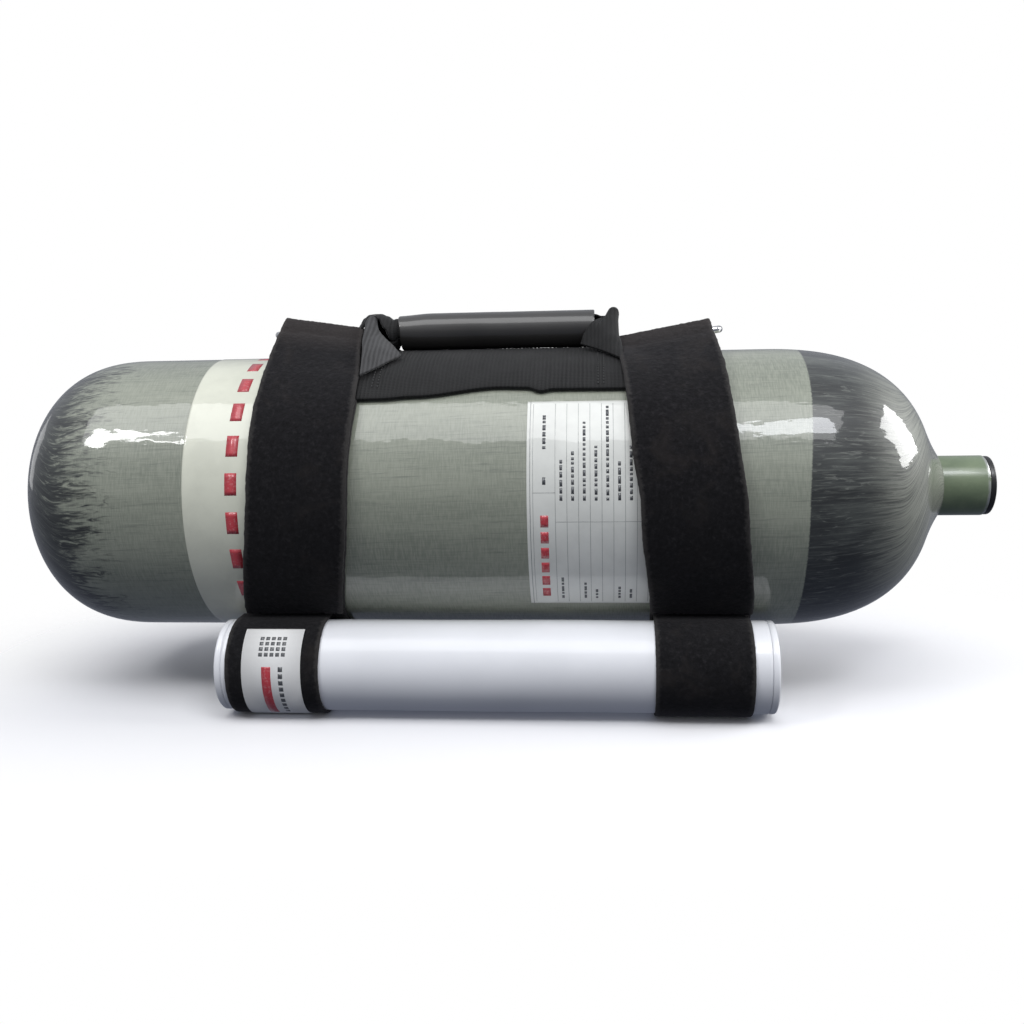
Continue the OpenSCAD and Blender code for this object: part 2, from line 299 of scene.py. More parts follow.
class Shader:
    """A Principled material with short calls for its procedural nodes."""

    def __init__(self, name, color, roughness, **sockets):
        self.material = bpy.data.materials.new(name)
        self.material.use_nodes = True
        self.tree = self.material.node_tree
        self.bsdf = next(n for n in self.tree.nodes if n.type == "BSDF_PRINCIPLED")
        self.bsdf.inputs["Base Color"].default_value = (*color, 1)
        self.bsdf.inputs["Roughness"].default_value = roughness
        for key, value in sockets.items():
            self.bsdf.inputs[key.replace("_", " ")].default_value = value

    def node(self, kind, settings=(), **inputs):
        made = self.tree.nodes.new(kind)
        for key, value in dict(settings).items():
            setattr(made, key, value)
        for key, value in inputs.items():
            self.set(made.inputs[key.replace("_", " ")], value)
        return made

    def set(self, socket, value):
        if isinstance(value, bpy.types.NodeSocket):
            self.tree.links.new(value, socket)
        else:
            socket.default_value = value

    def to(self, socket_name, value):
        self.set(self.bsdf.inputs[socket_name], value)

    def place(self):
        return self.node("ShaderNodeTexCoord").outputs["Object"]

    def attribute(self, name):
        return self.node("ShaderNodeAttribute", {"attribute_name": name}).outputs["Vector"]

    def scaled(self, vector, scale):
        made = self.node("ShaderNodeVectorMath", {"operation": "MULTIPLY"})
        self.set(made.inputs[0], vector)
        made.inputs[1].default_value = scale
        return made.outputs[0]

    def part(self, vector, axis):
        return self.node("ShaderNodeSeparateXYZ", Vector=vector).outputs[axis]

    def math(self, operation, a, b=0.0):
        made = self.node("ShaderNodeMath", {"operation": operation})
        self.set(made.inputs[0], a)
        self.set(made.inputs[1], b)
        return made.outputs[0]

    def times(self, a, b):
        return self.math("MULTIPLY", a, b)

    def plus(self, a, b):
        return self.math("ADD", a, b)

    def around(self, value, spread):
        """A noise value of 0 to 1, as spread about zero."""
        return self.times(self.math("SUBTRACT", value, 0.5), spread)

    def noise(self, vector, scale, detail, roughness, distortion=0.0):
        """Noise of one scale, or of one for each axis."""
        if isinstance(scale, tuple):
            vector, scale = self.scaled(vector, scale), 1.0
        return self.node("ShaderNodeTexNoise", Vector=vector, Scale=scale, Detail=detail,
                         Roughness=roughness, Distortion=distortion).outputs["Fac"]

    def bands(self, direction, vector, scale, **inputs):
        return self.node("ShaderNodeTexWave", {"bands_direction": direction}, Vector=vector,
                         Scale=scale, **inputs).outputs["Fac"]

    def between(self, value, low, high, out_low=0.0, out_high=1.0):
        made = self.node("ShaderNodeMapRange", {"interpolation_type": "SMOOTHSTEP"}, Value=value)
        for key, number in (("From Min", low), ("From Max", high), ("To Min", out_low),
                            ("To Max", out_high)):
            made.inputs[key].default_value = number
        return made.outputs[0]

    def ramp(self, value, stops):
        made = self.node("ShaderNodeValToRGB", Fac=value)
        elements = made.color_ramp.elements
        while len(elements) < len(stops):
            elements.new(0.5)
        for element, (position, color) in zip(elements, stops):
            element.position = position
            element.color = (*color, 1)
        return made.outputs["Color"]

    def blend(self, factor, a, b):
        made = self.node("ShaderNodeMix", {"data_type": "RGBA"})
        self.set(made.inputs["Factor"], factor)
        for socket, value in ((made.inputs[6], a), (made.inputs[7], b)):
            self.set(socket, (*value, 1) if isinstance(value, tuple) else value)
        return made.outputs[2]

    def bump(self, height, distance, strength):
        return self.node("ShaderNodeBump", Height=height, Distance=distance,
                         Strength=strength).outputs["Normal"]

    def cast_waves(self):
        """The slow waves of a thick clear coat."""
        return self.noise(self.attribute("wrap"), (26, 4.0, 4.0), 3.0, 0.5)


WAVE_HEIGHT = 1.1 * MM
# X where the hoop winding fades in and where it stops, and where the fibres turn paler
HOOPS_FADE, HOOPS_STOP, NECK_PALER = (-0.239, -0.209), (0.1628, 0.1637), (0.185, 0.23)


def composite_material():
    """Clear-coated glass fibre over carbon: pale hoop winding, dark streaked domes."""
    s = Shader("composite", (0.3, 0.3, 0.3), 0.42, Coat_Weight=1.0, Coat_Roughness=0.03,
               Coat_IOR=1.55, Specular_IOR_Level=0.35)
    place = s.place()
    wrap = s.attribute("wrap")
    helix = s.attribute("helix")
    x = s.part(place, "X")
    # Fibre streaks that run along the cylinder, coarse and fine
    coarse = s.noise(helix, (26, 9, 9), 6.0, 0.62, 0.6)
    fine = s.noise(helix, (40, 62, 62), 7.0, 0.7, 0.4)
    wisps = s.noise(helix, (70, 30, 30), 5.0, 0.6, 1.6)
    cloud = s.noise(wrap, (9, 3.2, 3.2), 3.0, 0.5, 0.3)
    # Hoop winding: hair-thin lines round the cylinder, crossed by faint axial ones
    hoop = s.noise(wrap, (1500, 14, 14), 2.0, 0.5)
    cross = s.noise(wrap, (60, 220, 220), 2.0, 0.5)
    weave = s.plus(s.times(hoop, 0.6), s.times(cross, 0.4))

    pale = s.ramp(cloud, [(0.25, (0.165, 0.182, 0.145)), (0.5, (0.222, 0.24, 0.192)),
                          (0.75, (0.285, 0.3, 0.243))])
    pale = s.blend(s.between(weave, 0.36, 0.64, 0.0, 0.5), pale, (0.34, 0.355, 0.29))
    pale = s.blend(s.between(fine, 0.52, 0.74, 0.0, 0.55), pale, (0.09, 0.103, 0.088))
    dark = s.ramp(coarse, [(0.3, (0.008, 0.009, 0.009)), (0.5, (0.024, 0.027, 0.026)),
                           (0.7, (0.06, 0.066, 0.06))])
    dark = s.blend(s.between(fine, 0.5, 0.72, 0.0, 0.7), dark, (0.13, 0.14, 0.125))
    dark = s.blend(s.between(wisps, 0.56, 0.7, 0.0, 0.4), dark, (0.22, 0.23, 0.205))
    near_neck = s.times(s.between(x, *NECK_PALER), s.between(fine, 0.32, 0.6, 0.15, 1.0))
    dark = s.blend(near_neck, dark, (0.31, 0.32, 0.27))

    # The hoop winding fades into the closed dome in streaks, and stops sharp at the neck dome
    ragged = s.plus(s.around(coarse, 0.06), s.around(wisps, 0.1))
    left_fade = s.between(s.plus(x, ragged), *HOOPS_FADE)
    lean = s.between(s.part(place, "Z"), AXIS_Z, AXIS_Z + CYL_R, 0.0, -4.5 * MM)
    edge = s.plus(s.plus(x, lean), s.times(fine, 1.6 * MM))
    right_stop = s.between(edge, *HOOPS_STOP, 1, 0)
    s.to("Base Color", s.blend(s.times(left_fade, right_stop), dark, pale))
    s.to("Roughness", s.between(fine, 0.3, 0.7, 0.36, 0.5))
    s.to("Normal", s.bump(fine, 0.25 * MM, 0.35))
    grain = s.noise(helix, (60, 16, 16), 2.0, 0.5)
    pores = s.noise(wrap, (330, 26, 26), 3.0, 0.6)
    ripple = s.plus(s.plus(s.cast_waves(), s.times(grain, 0.16)), s.times(pores, 0.03))
    s.to("Coat Normal", s.bump(ripple, WAVE_HEIGHT, 0.5))
    return s.material


def film_material(name, color):
    """Printed film under the same clear coat as the cylinder."""
    s = Shader(name, color, 0.5, Coat_Weight=1.0, Coat_Roughness=0.03, Coat_IOR=1.55)
    cloud = s.noise(s.place(), (60, 60, 60), 4.0, 0.6)
    shade = tuple(c * 0.86 for c in color)
    s.to("Base Color", s.blend(s.between(cloud, 0.35, 0.7, 0.0, 0.6), color, shade))
    s.to("Coat Normal", s.bump(s.cast_waves(), WAVE_HEIGHT, 0.5))
    return s.material


def ink_material(name, color):
    """Printing ink, worn pale in specks."""
    s = Shader(name, color, 0.5, Coat_Weight=1.0, Coat_Roughness=0.05)
    worn = s.noise(s.place(), 900, 3.0, 0.6)
    faded = tuple(mix(c, 0.75, 0.3) for c in color)
    s.to("Base Color", s.blend(s.between(worn, 0.5, 0.75, 0.0, 0.7), color, faded))
    return s.material


def pile_material():
    """Black brushed loop pile: short fuzz in clumps, brown where it is worn, a pale selvedge, and a
    painted highlight along the top where it folds over the ring.
    """
    s = Shader("strap_pile", (0.01, 0.0095, 0.0105), 0.92, Sheen_Weight=0.14, Sheen_Roughness=0.5,
               Sheen_Tint=(0.6, 0.58, 0.6, 1), Specular_IOR_Level=0.12)
    place = s.place()
    lay = s.attribute("lay")
    clumps = s.noise(place, 420, 5.0, 0.7)
    fuzz = s.noise(place, 2600, 3.0, 0.7)
    worn = s.noise(place, 46, 4.0, 0.6, 0.6)
    base = s.ramp(clumps, [(0.3, (0.003, 0.003, 0.0035)), (0.55, (0.008, 0.0078, 0.009)),
                           (0.75, (0.02, 0.019, 0.0205))])
    base = s.blend(s.between(worn, 0.5, 0.72, 0.0, 0.5), base, (0.021, 0.018, 0.017))
    base = s.blend(s.between(fuzz, 0.66, 0.78, 0.0, 0.4), base, (0.05, 0.047, 0.047))
    # The selvedge has frayed paler; the top of the strap, where it folds over the ring, is painted
    # lighter by height, a painted highlight of the light from above
    from_edge = s.plus(s.math("ABSOLUTE", s.part(lay, "X")), s.around(clumps, 0.16))
    base = s.blend(s.between(from_edge, 0.88, 0.97, 0.0, 0.55), base, (0.05, 0.047, 0.045))
    base = s.blend(s.between(s.part(lay, "Z"), 78 * MM, 90 * MM, 0.0, 0.5), base,
                   (0.04, 0.034, 0.032))
    s.to("Base Color", base)
    s.to("Normal", s.bump(s.plus(clumps, s.times(fuzz, 0.5)), 0.55 * MM, 0.9))
    return s.material


def webbing_material(name, tone, ribs=1.0):
    """Ribbed woven webbing, its ribs across its length, which runs along UV x."""
    s = Shader(name, (0.02, 0.02, 0.021), 0.7, Sheen_Weight=0.12, Sheen_Roughness=0.4,
               Specular_IOR_Level=0.25)
    uv = s.node("ShaderNodeUVMap", {"uv_map": "UVMap"}).outputs["UV"]
    yarn = s.bands("Y", uv, 260, Distortion=1.2, Detail=2.0)
    rib = s.bands("X", uv, 145, Distortion=1.6, Detail=2.0)
    blotch = s.noise(s.place(), 60, 4.0, 0.6)
    fibre = s.noise(s.place(), 1900, 3.0, 0.7)

    def grey(value):
        return (value * tone, value * tone, value * tone * 1.03)

    base = s.ramp(rib, [(0.0, grey(0.014)), (0.6, grey(0.022)), (1.0, grey(0.028))])
    base = s.blend(s.between(blotch, 0.4, 0.75, 0.0, 0.5), base, grey(0.036))
    base = s.blend(s.between(fibre, 0.64, 0.8, 0.0, 0.3), base, grey(0.07))
    s.to("Base Color", base)
    height = s.plus(s.times(rib, 0.8 * ribs), s.times(yarn, 0.4))
    s.to("Normal", s.bump(s.plus(height, s.times(fibre, 0.3)), 0.22 * MM, 0.7))
    return s.material


def hook_material():
    """Hook tape: a fine field of small stiff dots."""
    s = Shader("hook_tape", (0.012, 0.012, 0.012), 0.5, Specular_IOR_Level=0.4)
    cells = s.node("ShaderNodeTexVoronoi", Vector=s.place(), Scale=620).outputs["Distance"]
    s.to("Base Color", s.ramp(cells, [(0.0, (0.06, 0.06, 0.06)), (0.5, (0.01, 0.01, 0.01))]))
    s.to("Normal", s.bump(s.math("SUBTRACT", 1.0, cells), 0.6 * MM, 1.0))
    return s.material


def painted_neck_material():
    """Sage green paint, glossy, a little rubbed towards the end."""
    s = Shader("neck_paint", (0.18, 0.25, 0.14), 0.3, Coat_Weight=0.55, Coat_Roughness=0.12)
    place = s.place()
    tone = s.noise(place, 90, 4.0, 0.6)
    rub = s.noise(place, (300, 90, 90), 6.0, 0.7)
    base = s.ramp(tone, [(0.3, (0.12, 0.16, 0.095)), (0.7, (0.17, 0.215, 0.13))])
    near_end = s.between(s.part(place, "X"), NECK_X - 0.0022, NECK_X - 0.0004)
    worn = s.times(near_end, s.between(rub, 0.42, 0.55))
    s.to("Base Color", s.blend(worn, base, (0.55, 0.56, 0.55)))
    s.to("Metallic", s.times(worn, 0.9))
    s.to("Normal", s.bump(s.noise(place, 700, 3.0, 0.6), 0.06 * MM, 0.4))
    return s.material


def moulded_material(name, color, roughness, coat, coat_roughness=0.06, mottling=0.12):
    """Moulded plastic: faint mottling, a fine grain and light handling marks."""
    s = Shader(name, color, roughness, Coat_Weight=coat, Coat_Roughness=coat_roughness)
    place = s.place()
    cloud = s.noise(place, 24, 3.0, 0.5)
    shade = tuple(c * (1 - mottling) for c in color)
    s.to("Base Color", s.blend(s.between(cloud, 0.35, 0.7), color, shade))
    scuff = s.noise(place, (30, 500, 500), 5.0, 0.7)
    s.to("Roughness", s.between(scuff, 0.45, 0.75, roughness, min(1.0, roughness + 0.18)))
    s.to("Normal", s.bump(s.noise(place, 1400, 2.0, 0.5), 0.03 * MM, 0.35))
    return s.material


def speckled_material(name, color, roughness, scale, detail, stops, **sockets):
    """One colour that a fine noise breaks up: the bloom of rubber, the twist of thread."""
    s = Shader(name, color, roughness, **sockets)
    speckles = s.noise(s.place(), scale, *detail)
    s.to("Base Color", s.ramp(speckles, stops))
    return s.material


def metal_material():
    """Plated steel wire, scratched along its length."""
    s = Shader("ring_steel", (0.72, 0.72, 0.73), 0.18, Metallic=1.0)
    scratch = s.noise(s.place(), (90, 900, 900), 5.0, 0.7)
    s.to("Roughness", s.between(scratch, 0.35, 0.7, 0.12, 0.34))
    s.to("Normal", s.bump(scratch, 0.02 * MM, 0.4))
    return s.material


def woven_label_material():
    """White woven cloth."""
    s = Shader("label_cloth", (0.8, 0.8, 0.79), 0.7, Sheen_Weight=0.2)
    place = s.place()
    weave = s.times(s.bands("X", place, 600), s.bands("Z", place, 600))
    s.to("Base Color", s.blend(weave, (0.7, 0.7, 0.69), (0.85, 0.85, 0.84)))
    s.to("Normal", s.bump(weave, 0.08 * MM, 0.5))
    return s.material


MATERIALS = {
    "composite": composite_material(),
    "marking": film_material("marking_film", (0.66, 0.67, 0.56)),
    "label": film_material("label_film", (0.72, 0.73, 0.69)),
    "ink_red": ink_material("ink_red", (0.5, 0.035, 0.05)),
    "ink_grey": ink_material("ink_grey", (0.07, 0.075, 0.08)),
    "ink_line": ink_material("ink_line", (0.3, 0.31, 0.3)),
    "pile": pile_material(),
    "webbing": webbing_material("webbing", 0.42),
    # The lapel's webbing is a copy twice as light: a painted highlight where its face catches the
    # light
    "lapel": webbing_material("webbing_painted_lighter", 2.0, 0.25),
    "hook": hook_material(),
    "neck": painted_neck_material(),
    "plug": moulded_material("plug_plastic", (0.012, 0.012, 0.013), 0.32, 0.2),
    "grip": moulded_material("grip_plastic", (0.024, 0.022, 0.02), 0.42, 1.0, 0.11, 0.3),
    "tube": moulded_material("tube_plastic", (0.8, 0.81, 0.84), 0.3, 0.35, mottling=0.04),
    "rubber": speckled_material(
        "seal_rubber", (0.014, 0.014, 0.014), 0.55, 1200, (4.0, 0.6),
        [(0.35, (0.01, 0.01, 0.01)), (0.7, (0.03, 0.03, 0.03))], Specular_IOR_Level=0.4),
    "steel": metal_material(),
    "cloth": woven_label_material(),
    "thread": speckled_material(
        "thread", (0.02, 0.02, 0.021), 0.7, 3000, (2.0, 0.5),
        [(0.3, (0.01, 0.01, 0.01)), (0.7, (0.03, 0.03, 0.031))], Sheen_Weight=0.1),
}


def finish_piece(obj, material, body=None, replaces=()):
    """Give a piece its material and the body it rides, and hide the CAD nodes it stands in for."""
    obj.data.materials.clear()
    obj.data.materials.append(MATERIALS[material])
    if body:
        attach(obj, body)
    if replaces:
        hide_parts(*replaces)


# ---------------------------------------------------------------- camera, light, floor

def make_camera():
    """Near eye level, a little above the axis and a little right of the middle."""
    elevation, distance, across = math.radians(8.0), 0.61366, 0.05826
    yaw, tilt, roll = math.radians(-5.071), math.radians(-9.227), math.radians(-1.187)
    forward = Vector((math.sin(yaw) * math.cos(tilt), math.cos(yaw) * math.cos(tilt),
                      math.sin(tilt)))
    level = Vector((math.cos(yaw), -math.sin(yaw), 0))
    upright = level.cross(forward)
    right = level * math.cos(roll) + upright * math.sin(roll)
    up = upright * math.cos(roll) - level * math.sin(roll)
    data = bpy.data.cameras.new("camera")
    data.lens, data.sensor_width = 36.6, 36.0
    data.clip_start = 0.01
    camera = bpy.data.objects.new("camera", data)
    rows = Matrix((right, up, -forward)).transposed()
    camera.matrix_world = Matrix.Translation((
        across, -distance * math.cos(elevation), AXIS_Z + distance * math.sin(elevation)
    )) @ rows.to_4x4()
    bpy.context.scene.collection.objects.link(camera)
    bpy.context.scene.camera = camera


def make_panel(name, place, target, size, radiance, color=(1, 1, 1)):
    """A rectangular softbox that shines with the given radiance."""
    data = bpy.data.lights.new(name, "AREA")
    data.shape = "RECTANGLE"
    data.size, data.size_y = size
    data.energy = radiance * math.pi * size[0] * size[1]
    data.color = color
    light = bpy.data.objects.new(name, data)
    light.location = place
    light.rotation_mode = "QUATERNION"
    light.rotation_quaternion = (Vector(place) - Vector(target)).to_track_quat("Z", "Y")
    bpy.context.scene.collection.objects.link(light)


def make_world():
    """Plain white to the eye; in what it lights, a dimmer room, brighter overhead."""
    world = bpy.data.worlds.new("studio")
    world.use_nodes = True
    nodes, link = world.node_tree.nodes, world.node_tree.links.new
    background = next(n for n in nodes if n.type == "BACKGROUND")
    room = nodes.new("ShaderNodeValToRGB")
    height = nodes.new("ShaderNodeSeparateXYZ")
    direction = nodes.new("ShaderNodeTexCoord")
    lift = nodes.new("ShaderNodeMapRange")
    lift.inputs["From Min"].default_value = -1.0
    link(direction.outputs["Generated"], height.inputs["Vector"])
    link(height.outputs["Z"], lift.inputs["Value"])
    link(lift.outputs[0], room.inputs["Fac"])
    below, level, above = (0.075, 0.087, 0.125), (0.2, 0.21, 0.24), (0.62, 0.64, 0.68)
    room.color_ramp.elements.new(0.5)
    for element, position, color in zip(room.color_ramp.elements, (0.0, 0.5, 1.0),
                                        (below, level, above)):
        element.position = position
        element.color = (*color, 1)
    seen = nodes.new("ShaderNodeLightPath")
    choice = nodes.new("ShaderNodeMix")
    choice.data_type = "RGBA"
    link(seen.outputs["Is Camera Ray"], choice.inputs["Factor"])
    link(room.outputs["Color"], choice.inputs[6])
    choice.inputs[7].default_value = (1, 1, 1, 1)
    link(choice.outputs[2], background.inputs["Color"])
    bpy.context.scene.world = world


def make_floor():
    """Pale paper that fades out into the white round the object."""
    size, fade, paper = 3.0, 0.2, {"X": 0.22, "Y": 0.06}
    corners = [(-size, -size, 0), (size, -size, 0), (size, size, 0), (-size, size, 0)]
    floor = new_object("floor", corners, [(0, 1, 2, 3)])
    s = Shader("floor_paper", (0.8, 0.8, 0.82), 0.9, Specular_IOR_Level=0.1)
    place = s.place()
    squares = []
    for axis, half in paper.items():
        past = s.math("SUBTRACT", s.math("ABSOLUTE", s.part(place, axis)), half)
        beyond = s.math("MAXIMUM", past)
        squares.append(s.times(beyond, beyond))
    distance = s.math("SQRT", s.plus(*squares))
    s.to("Alpha", s.between(distance, 0.0, fade, 1.0, 0.0))
    floor.data.materials.append(s.material)
    # The undersides are dark in the photograph, so the floor neither lights nor mirrors in them
    floor.visible_diffuse = False
    floor.visible_glossy = False


def make_lights():
    """Softboxes, each where the photograph shows its reflection in the clear coat."""
    middle = (0, 0, AXIS_Z)
    make_panel("overhead", (-0.1, -0.7, 1.6), middle, (2.4, 1.0), 2.45)
    make_panel("panel_left", (-0.95, -0.83, 1.25), (-0.2, 0, 0.15), (0.26, 0.3), 15)
    make_panel("strip_left", (-0.79, -0.95, 1.22), (-0.17, 0, 0.15), (0.1, 0.05), 15)
    make_panel("panel_right", (0.56, -0.83, 1.36), (0.15, 0, 0.15), (0.58, 0.3), 8, (0.93, 0.95, 1))
    make_panel("window_right", (1.5, 0.12, 0.78), (0.205, -0.055, 0.145), (0.75, 0.75), 9)
    make_panel("rim_left", (-1.5, 0.7, 0.3), (-0.2, 0, AXIS_Z), (0.4, 0.5), 0.8)


# ---------------------------------------------------------------- cylinder

def dome_point(radius, depth, t):
    """(radius, distance along the axis) on a dome, for t from its rim to its pole."""
    power = 2 / DOME_POWER
    return radius * math.cos(t) ** power, depth * math.sin(t) ** power


def shell_profile():
    """(x, radius) of the outer surface, from the tip of the closed dome to the neck."""
    steps = 44
    wall_start, wall_end = BASE_X + BASE_DOME, SHOULDER_X - NECK_DOME
    wall_steps, sweep_steps = 90, 12
    points = []
    for i in range(steps, -1, -1):
        r, d = dome_point(CYL_R, BASE_DOME, math.pi / 2 * i / steps)
        points.append((wall_start - d, max(r, 0.02 * MM)))
    for i in range(1, wall_steps):
        points.append((mix(wall_start, wall_end, i / wall_steps), CYL_R))
    dome_stop = math.radians(66)
    for i in range(steps + 1):
        r, d = dome_point(CYL_R, 0.94 * NECK_DOME, dome_stop * i / steps)
        points.append((wall_end + d, r))
    # A hollow sweep from the dome into the neck
    (x0, r0), (x1, r1) = points[-1], (SHOULDER_X, NECK_R + 0.25 * MM)
    for i in range(1, sweep_steps + 1):
        t = i / sweep_steps
        points.append((mix(x0, x1, t), mix(r0, r1, t) - 1.1 * MM * math.sin(math.pi * t)))
    points.append((SHOULDER_X + 0.1 * MM, NECK_R - 0.5 * MM))
    return points


def make_shell():
    wall_end = SHOULDER_X - NECK_DOME
    shell = turned("cylinder_shell", shell_profile(), FINE)
    # The helical fibres swing round as they close in on the neck
    helix = shell.data.attributes.new("helix", "FLOAT_VECTOR", "POINT")
    for i, v in enumerate(shell.data.vertices):
        along, c, s = shell.data.attributes["wrap"].data[i].vector
        turn = 1.1 * smooth(wall_end + 62 * MM, SHOULDER_X, v.co.x) ** 1.5
        turn += 0.55 * (v.co.x - wall_end)
        turn += 0.35 * smooth(BASE_X + 40 * MM, BASE_X, v.co.x)
        helix.data[i].vector = (along, c * math.cos(turn) - s * math.sin(turn),
                                c * math.sin(turn) + s * math.cos(turn))
    finish_piece(shell, "composite", "cylinder",
                 ["glass_overwrap", "carbon_overwrap"])


def make_neck():
    """The bare neck, with its bore and the seat of the O-ring."""
    root, seat, depth = SHOULDER_X - 6 * MM, NECK_X - 3.2 * MM, NECK_X - 34 * MM
    seat_r = 11.2 * MM
    corners = [(root, 1 * MM), (root, NECK_R), (NECK_X, NECK_R), (NECK_X, seat_r), (seat, seat_r),
               (seat, PORT_R), (depth, PORT_R), (depth, 0.5 * MM)]
    neck = turned("neck", rounded_profile(corners, 0.9 * MM, 6), ROUND)
    finish_piece(neck, "neck", "cylinder", ["liner"])


def make_plug():
    """Flange with a hexagon socket, and a threaded stem that stays inside its bore."""
    flange_r, crest_r, pitch, depth = 16.6 * MM, 8.05 * MM, 1.5 * MM, 0.75 * MM
    thread_start, thread_end = plug_lo.x + 0.4 * MM, NECK_X - 2.5 * MM
    key_r, rim_r, key_x = 5 * MM, 6.2 * MM, PLUG_X - 3 * MM
    segments, stem_steps = 144, 96

    def thread(x, r, angle):
        if r > crest_r + 0.1 * MM or x > thread_end or x < thread_start:
            return 0.0
        phase = ((x / pitch) - angle / (2 * math.pi)) % 1.0
        return -depth * abs(2 * phase - 1)

    stem = [(mix(plug_lo.x, NECK_X, i / stem_steps), crest_r) for i in range(stem_steps + 1)]
    face = NECK_X + 0.02 * MM
    flange = rounded_profile([(face, crest_r), (face, flange_r), (PLUG_X, flange_r),
                              (PLUG_X, rim_r)], 1.0 * MM, 6)
    profile = [(plug_lo.x, 2 * MM), *stem, *flange]
    plug = turned("plug", profile, segments, bump=thread, capped=False)
    finish_piece(plug, "plug", "plug", ["neck_plug"])
    # The socket: a hexagon let into the face
    angles = [2 * math.pi * k / segments for k in range(segments)]
    sixth = math.pi / 3
    rings = []
    for x, shape in ((PLUG_X, 0.0), (PLUG_X - 0.25 * MM, 1.0), (key_x, 1.0)):
        ring = []
        for angle in angles:
            hexagon = key_r * math.cos(sixth / 2) / math.cos(angle % sixth - sixth / 2)
            ring.append((x, *on_circle(mix(rim_r, hexagon, shape), angle, AXIS)))
        rings.append(ring)
    rings.append([(key_x, *on_circle(0.2 * MM, angle, AXIS)) for angle in angles])
    socket = loft("plug_socket", rings, capped=False)
    finish_piece(socket, "plug", "plug")


def curved_patch(x0, x1, angle0, angle1, radius, thickness, centre=AXIS):
    """Vertices and faces of a thin plate bent round an axis along X; angles as in on_circle."""
    across, under = max(2, round(abs(angle1 - angle0) / 0.03)), radius - thickness
    verts, faces = [], []
    for angle in (mix(angle0, angle1, i / across) for i in range(across + 1)):
        for x, r in ((x0, radius), (x1, radius), (x1, under), (x0, under)):
            verts.append((x, *on_circle(r, angle, centre)))
    for i in range(across):
        for k in range(4):
            m = (k + 1) % 4
            faces.append((i * 4 + k, i * 4 + m, i * 4 + 4 + m, i * 4 + 4 + k))
    last = across * 4
    return verts, [*faces, (3, 2, 1, 0), (last, last + 1, last + 2, last + 3)]


def joined(name, parts):
    """One object from several (vertices, faces) pairs."""
    verts, faces = [], []
    for part_verts, part_faces in parts:
        base = len(verts)
        verts += part_verts
        faces += [tuple(i + base for i in face) for face in part_faces]
    obj = new_object(name, verts, faces)
    recalculate_normals(obj)
    return obj


INK_T, INK_PROUD = 0.05 * MM, 0.03 * MM


def front(elevation):
    """Angle of a point on the front, this many degrees above the horizontal."""
    return math.radians(180 - elevation)


def make_marking_band():
    """A cream film round the cylinder, with plain red dashes."""
    lo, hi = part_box("marking_band")
    inner, steps, count = CYL_R - 0.1 * MM, 24, 24
    profile = [(lo.x, inner), (lo.x + 0.15 * MM, FILM_R)]
    profile += [(mix(lo.x + 1 * MM, hi.x - 1 * MM, i / steps), FILM_R) for i in range(steps + 1)]
    profile += [(hi.x - 0.15 * MM, FILM_R), (hi.x, inner)]
    band = turned("marking_band_film", profile, FINE, capped=False, looped=True)
    finish_piece(band, "marking", "cylinder", ["marking_band"])
    starts = [2 * math.pi * i / count for i in range(count)]
    x0, x1, length = -141 * MM, -134.5 * MM, 0.15
    dashes = [curved_patch(x0, x1, start, start + length, FILM_R + INK_PROUD, INK_T)
              for start in starts]
    finish_piece(joined("marking_dashes", dashes), "ink_red", "cylinder")


def make_data_label():
    """A ruled white film with rows of plain dashes in place of its text."""
    lo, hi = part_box("data_label")
    top, bottom, steps = 43.5, -43.5, 90
    under, edge, bevel = FILM_R - 0.3 * MM, FILM_R - 0.05 * MM, 0.1 * MM
    section = [(lo.x, under), (lo.x, edge), (lo.x + bevel, FILM_R), (mix(lo.x, hi.x, 0.5), FILM_R),
               (hi.x - bevel, FILM_R), (hi.x, edge), (hi.x, under)]
    rings, wraps = [], []
    for i in range(steps + 1):
        angle = front(mix(top, bottom, i / steps))
        rings.append([(x, *on_circle(r, angle, AXIS)) for x, r in section])
        wraps.append([(x - BASE_X, math.cos(angle), math.sin(angle)) for x, r in section])
    label = loft("data_label_film", rings, attributes={"wrap": wraps})
    finish_piece(label, "label", "cylinder", ["data_label"])

    first, wide, narrow = lo.x + 3.2 * MM, 11.5 * MM, 6.0 * MM
    lines, bars, reds = [], [], []

    def mark(into, x0, x1, from_el, to_el):
        into.append(curved_patch(x0, x1, front(from_el), front(to_el), FILM_R + INK_PROUD, INK_T))

    def words(x, width, from_el, to_el, seed):
        """A row of plain dashes, running round the cylinder."""
        rng = random.Random(seed)
        el = from_el
        while el < to_el - 0.8:
            length = min(rng.uniform(0.9, 2.9), to_el - el)
            mark(bars, x - width / 2, x + width / 2, el, el + length)
            el += length + rng.uniform(0.45, 0.9)

    columns = [first] + [first + wide + narrow * i for i in range(13)]
    mark(lines, lo.x + 1.5 * MM, lo.x + 1.9 * MM, top, bottom)
    for x in columns:
        mark(lines, x - 0.12 * MM, x + 0.12 * MM, top - 1.2, bottom + 1.2)
    mark(lines, first, first + wide, 6.6, 6.4)
    mark(lines, first + wide, columns[-1], -4.4, -4.6)
    middle = first + wide / 2
    words(middle, 1.7 * MM, 23, 37, 1)
    words(middle, 1.7 * MM, 9.5, 13.5, 2)
    # One row in each narrow column, up to these elevations, and a short one at its foot
    tops = [20, 22, 34, 25, 41, 18, 24, 31, 16, 27, 20, 35]
    for i, reach in enumerate(tops):
        x = columns[1] + narrow * (i + 0.5)
        words(x, 1.45 * MM, 3.5, reach, 10 + i)
        if i % 3 != 1:
            words(x, 1.3 * MM, -40, -40 + tops[-1 - i] / 3, 40 + i)
    for i in range(6):
        mark(reds, middle - 2.1 * MM, middle + 2.1 * MM, -2 - 6.4 * i, -6.6 - 6.4 * i)
    for name, parts, ink in (("lines", lines, "ink_line"), ("bars", bars, "ink_grey"),
                             ("blocks", reds, "ink_red")):
        finish_piece(joined(f"label_{name}", parts), ink, "cylinder")


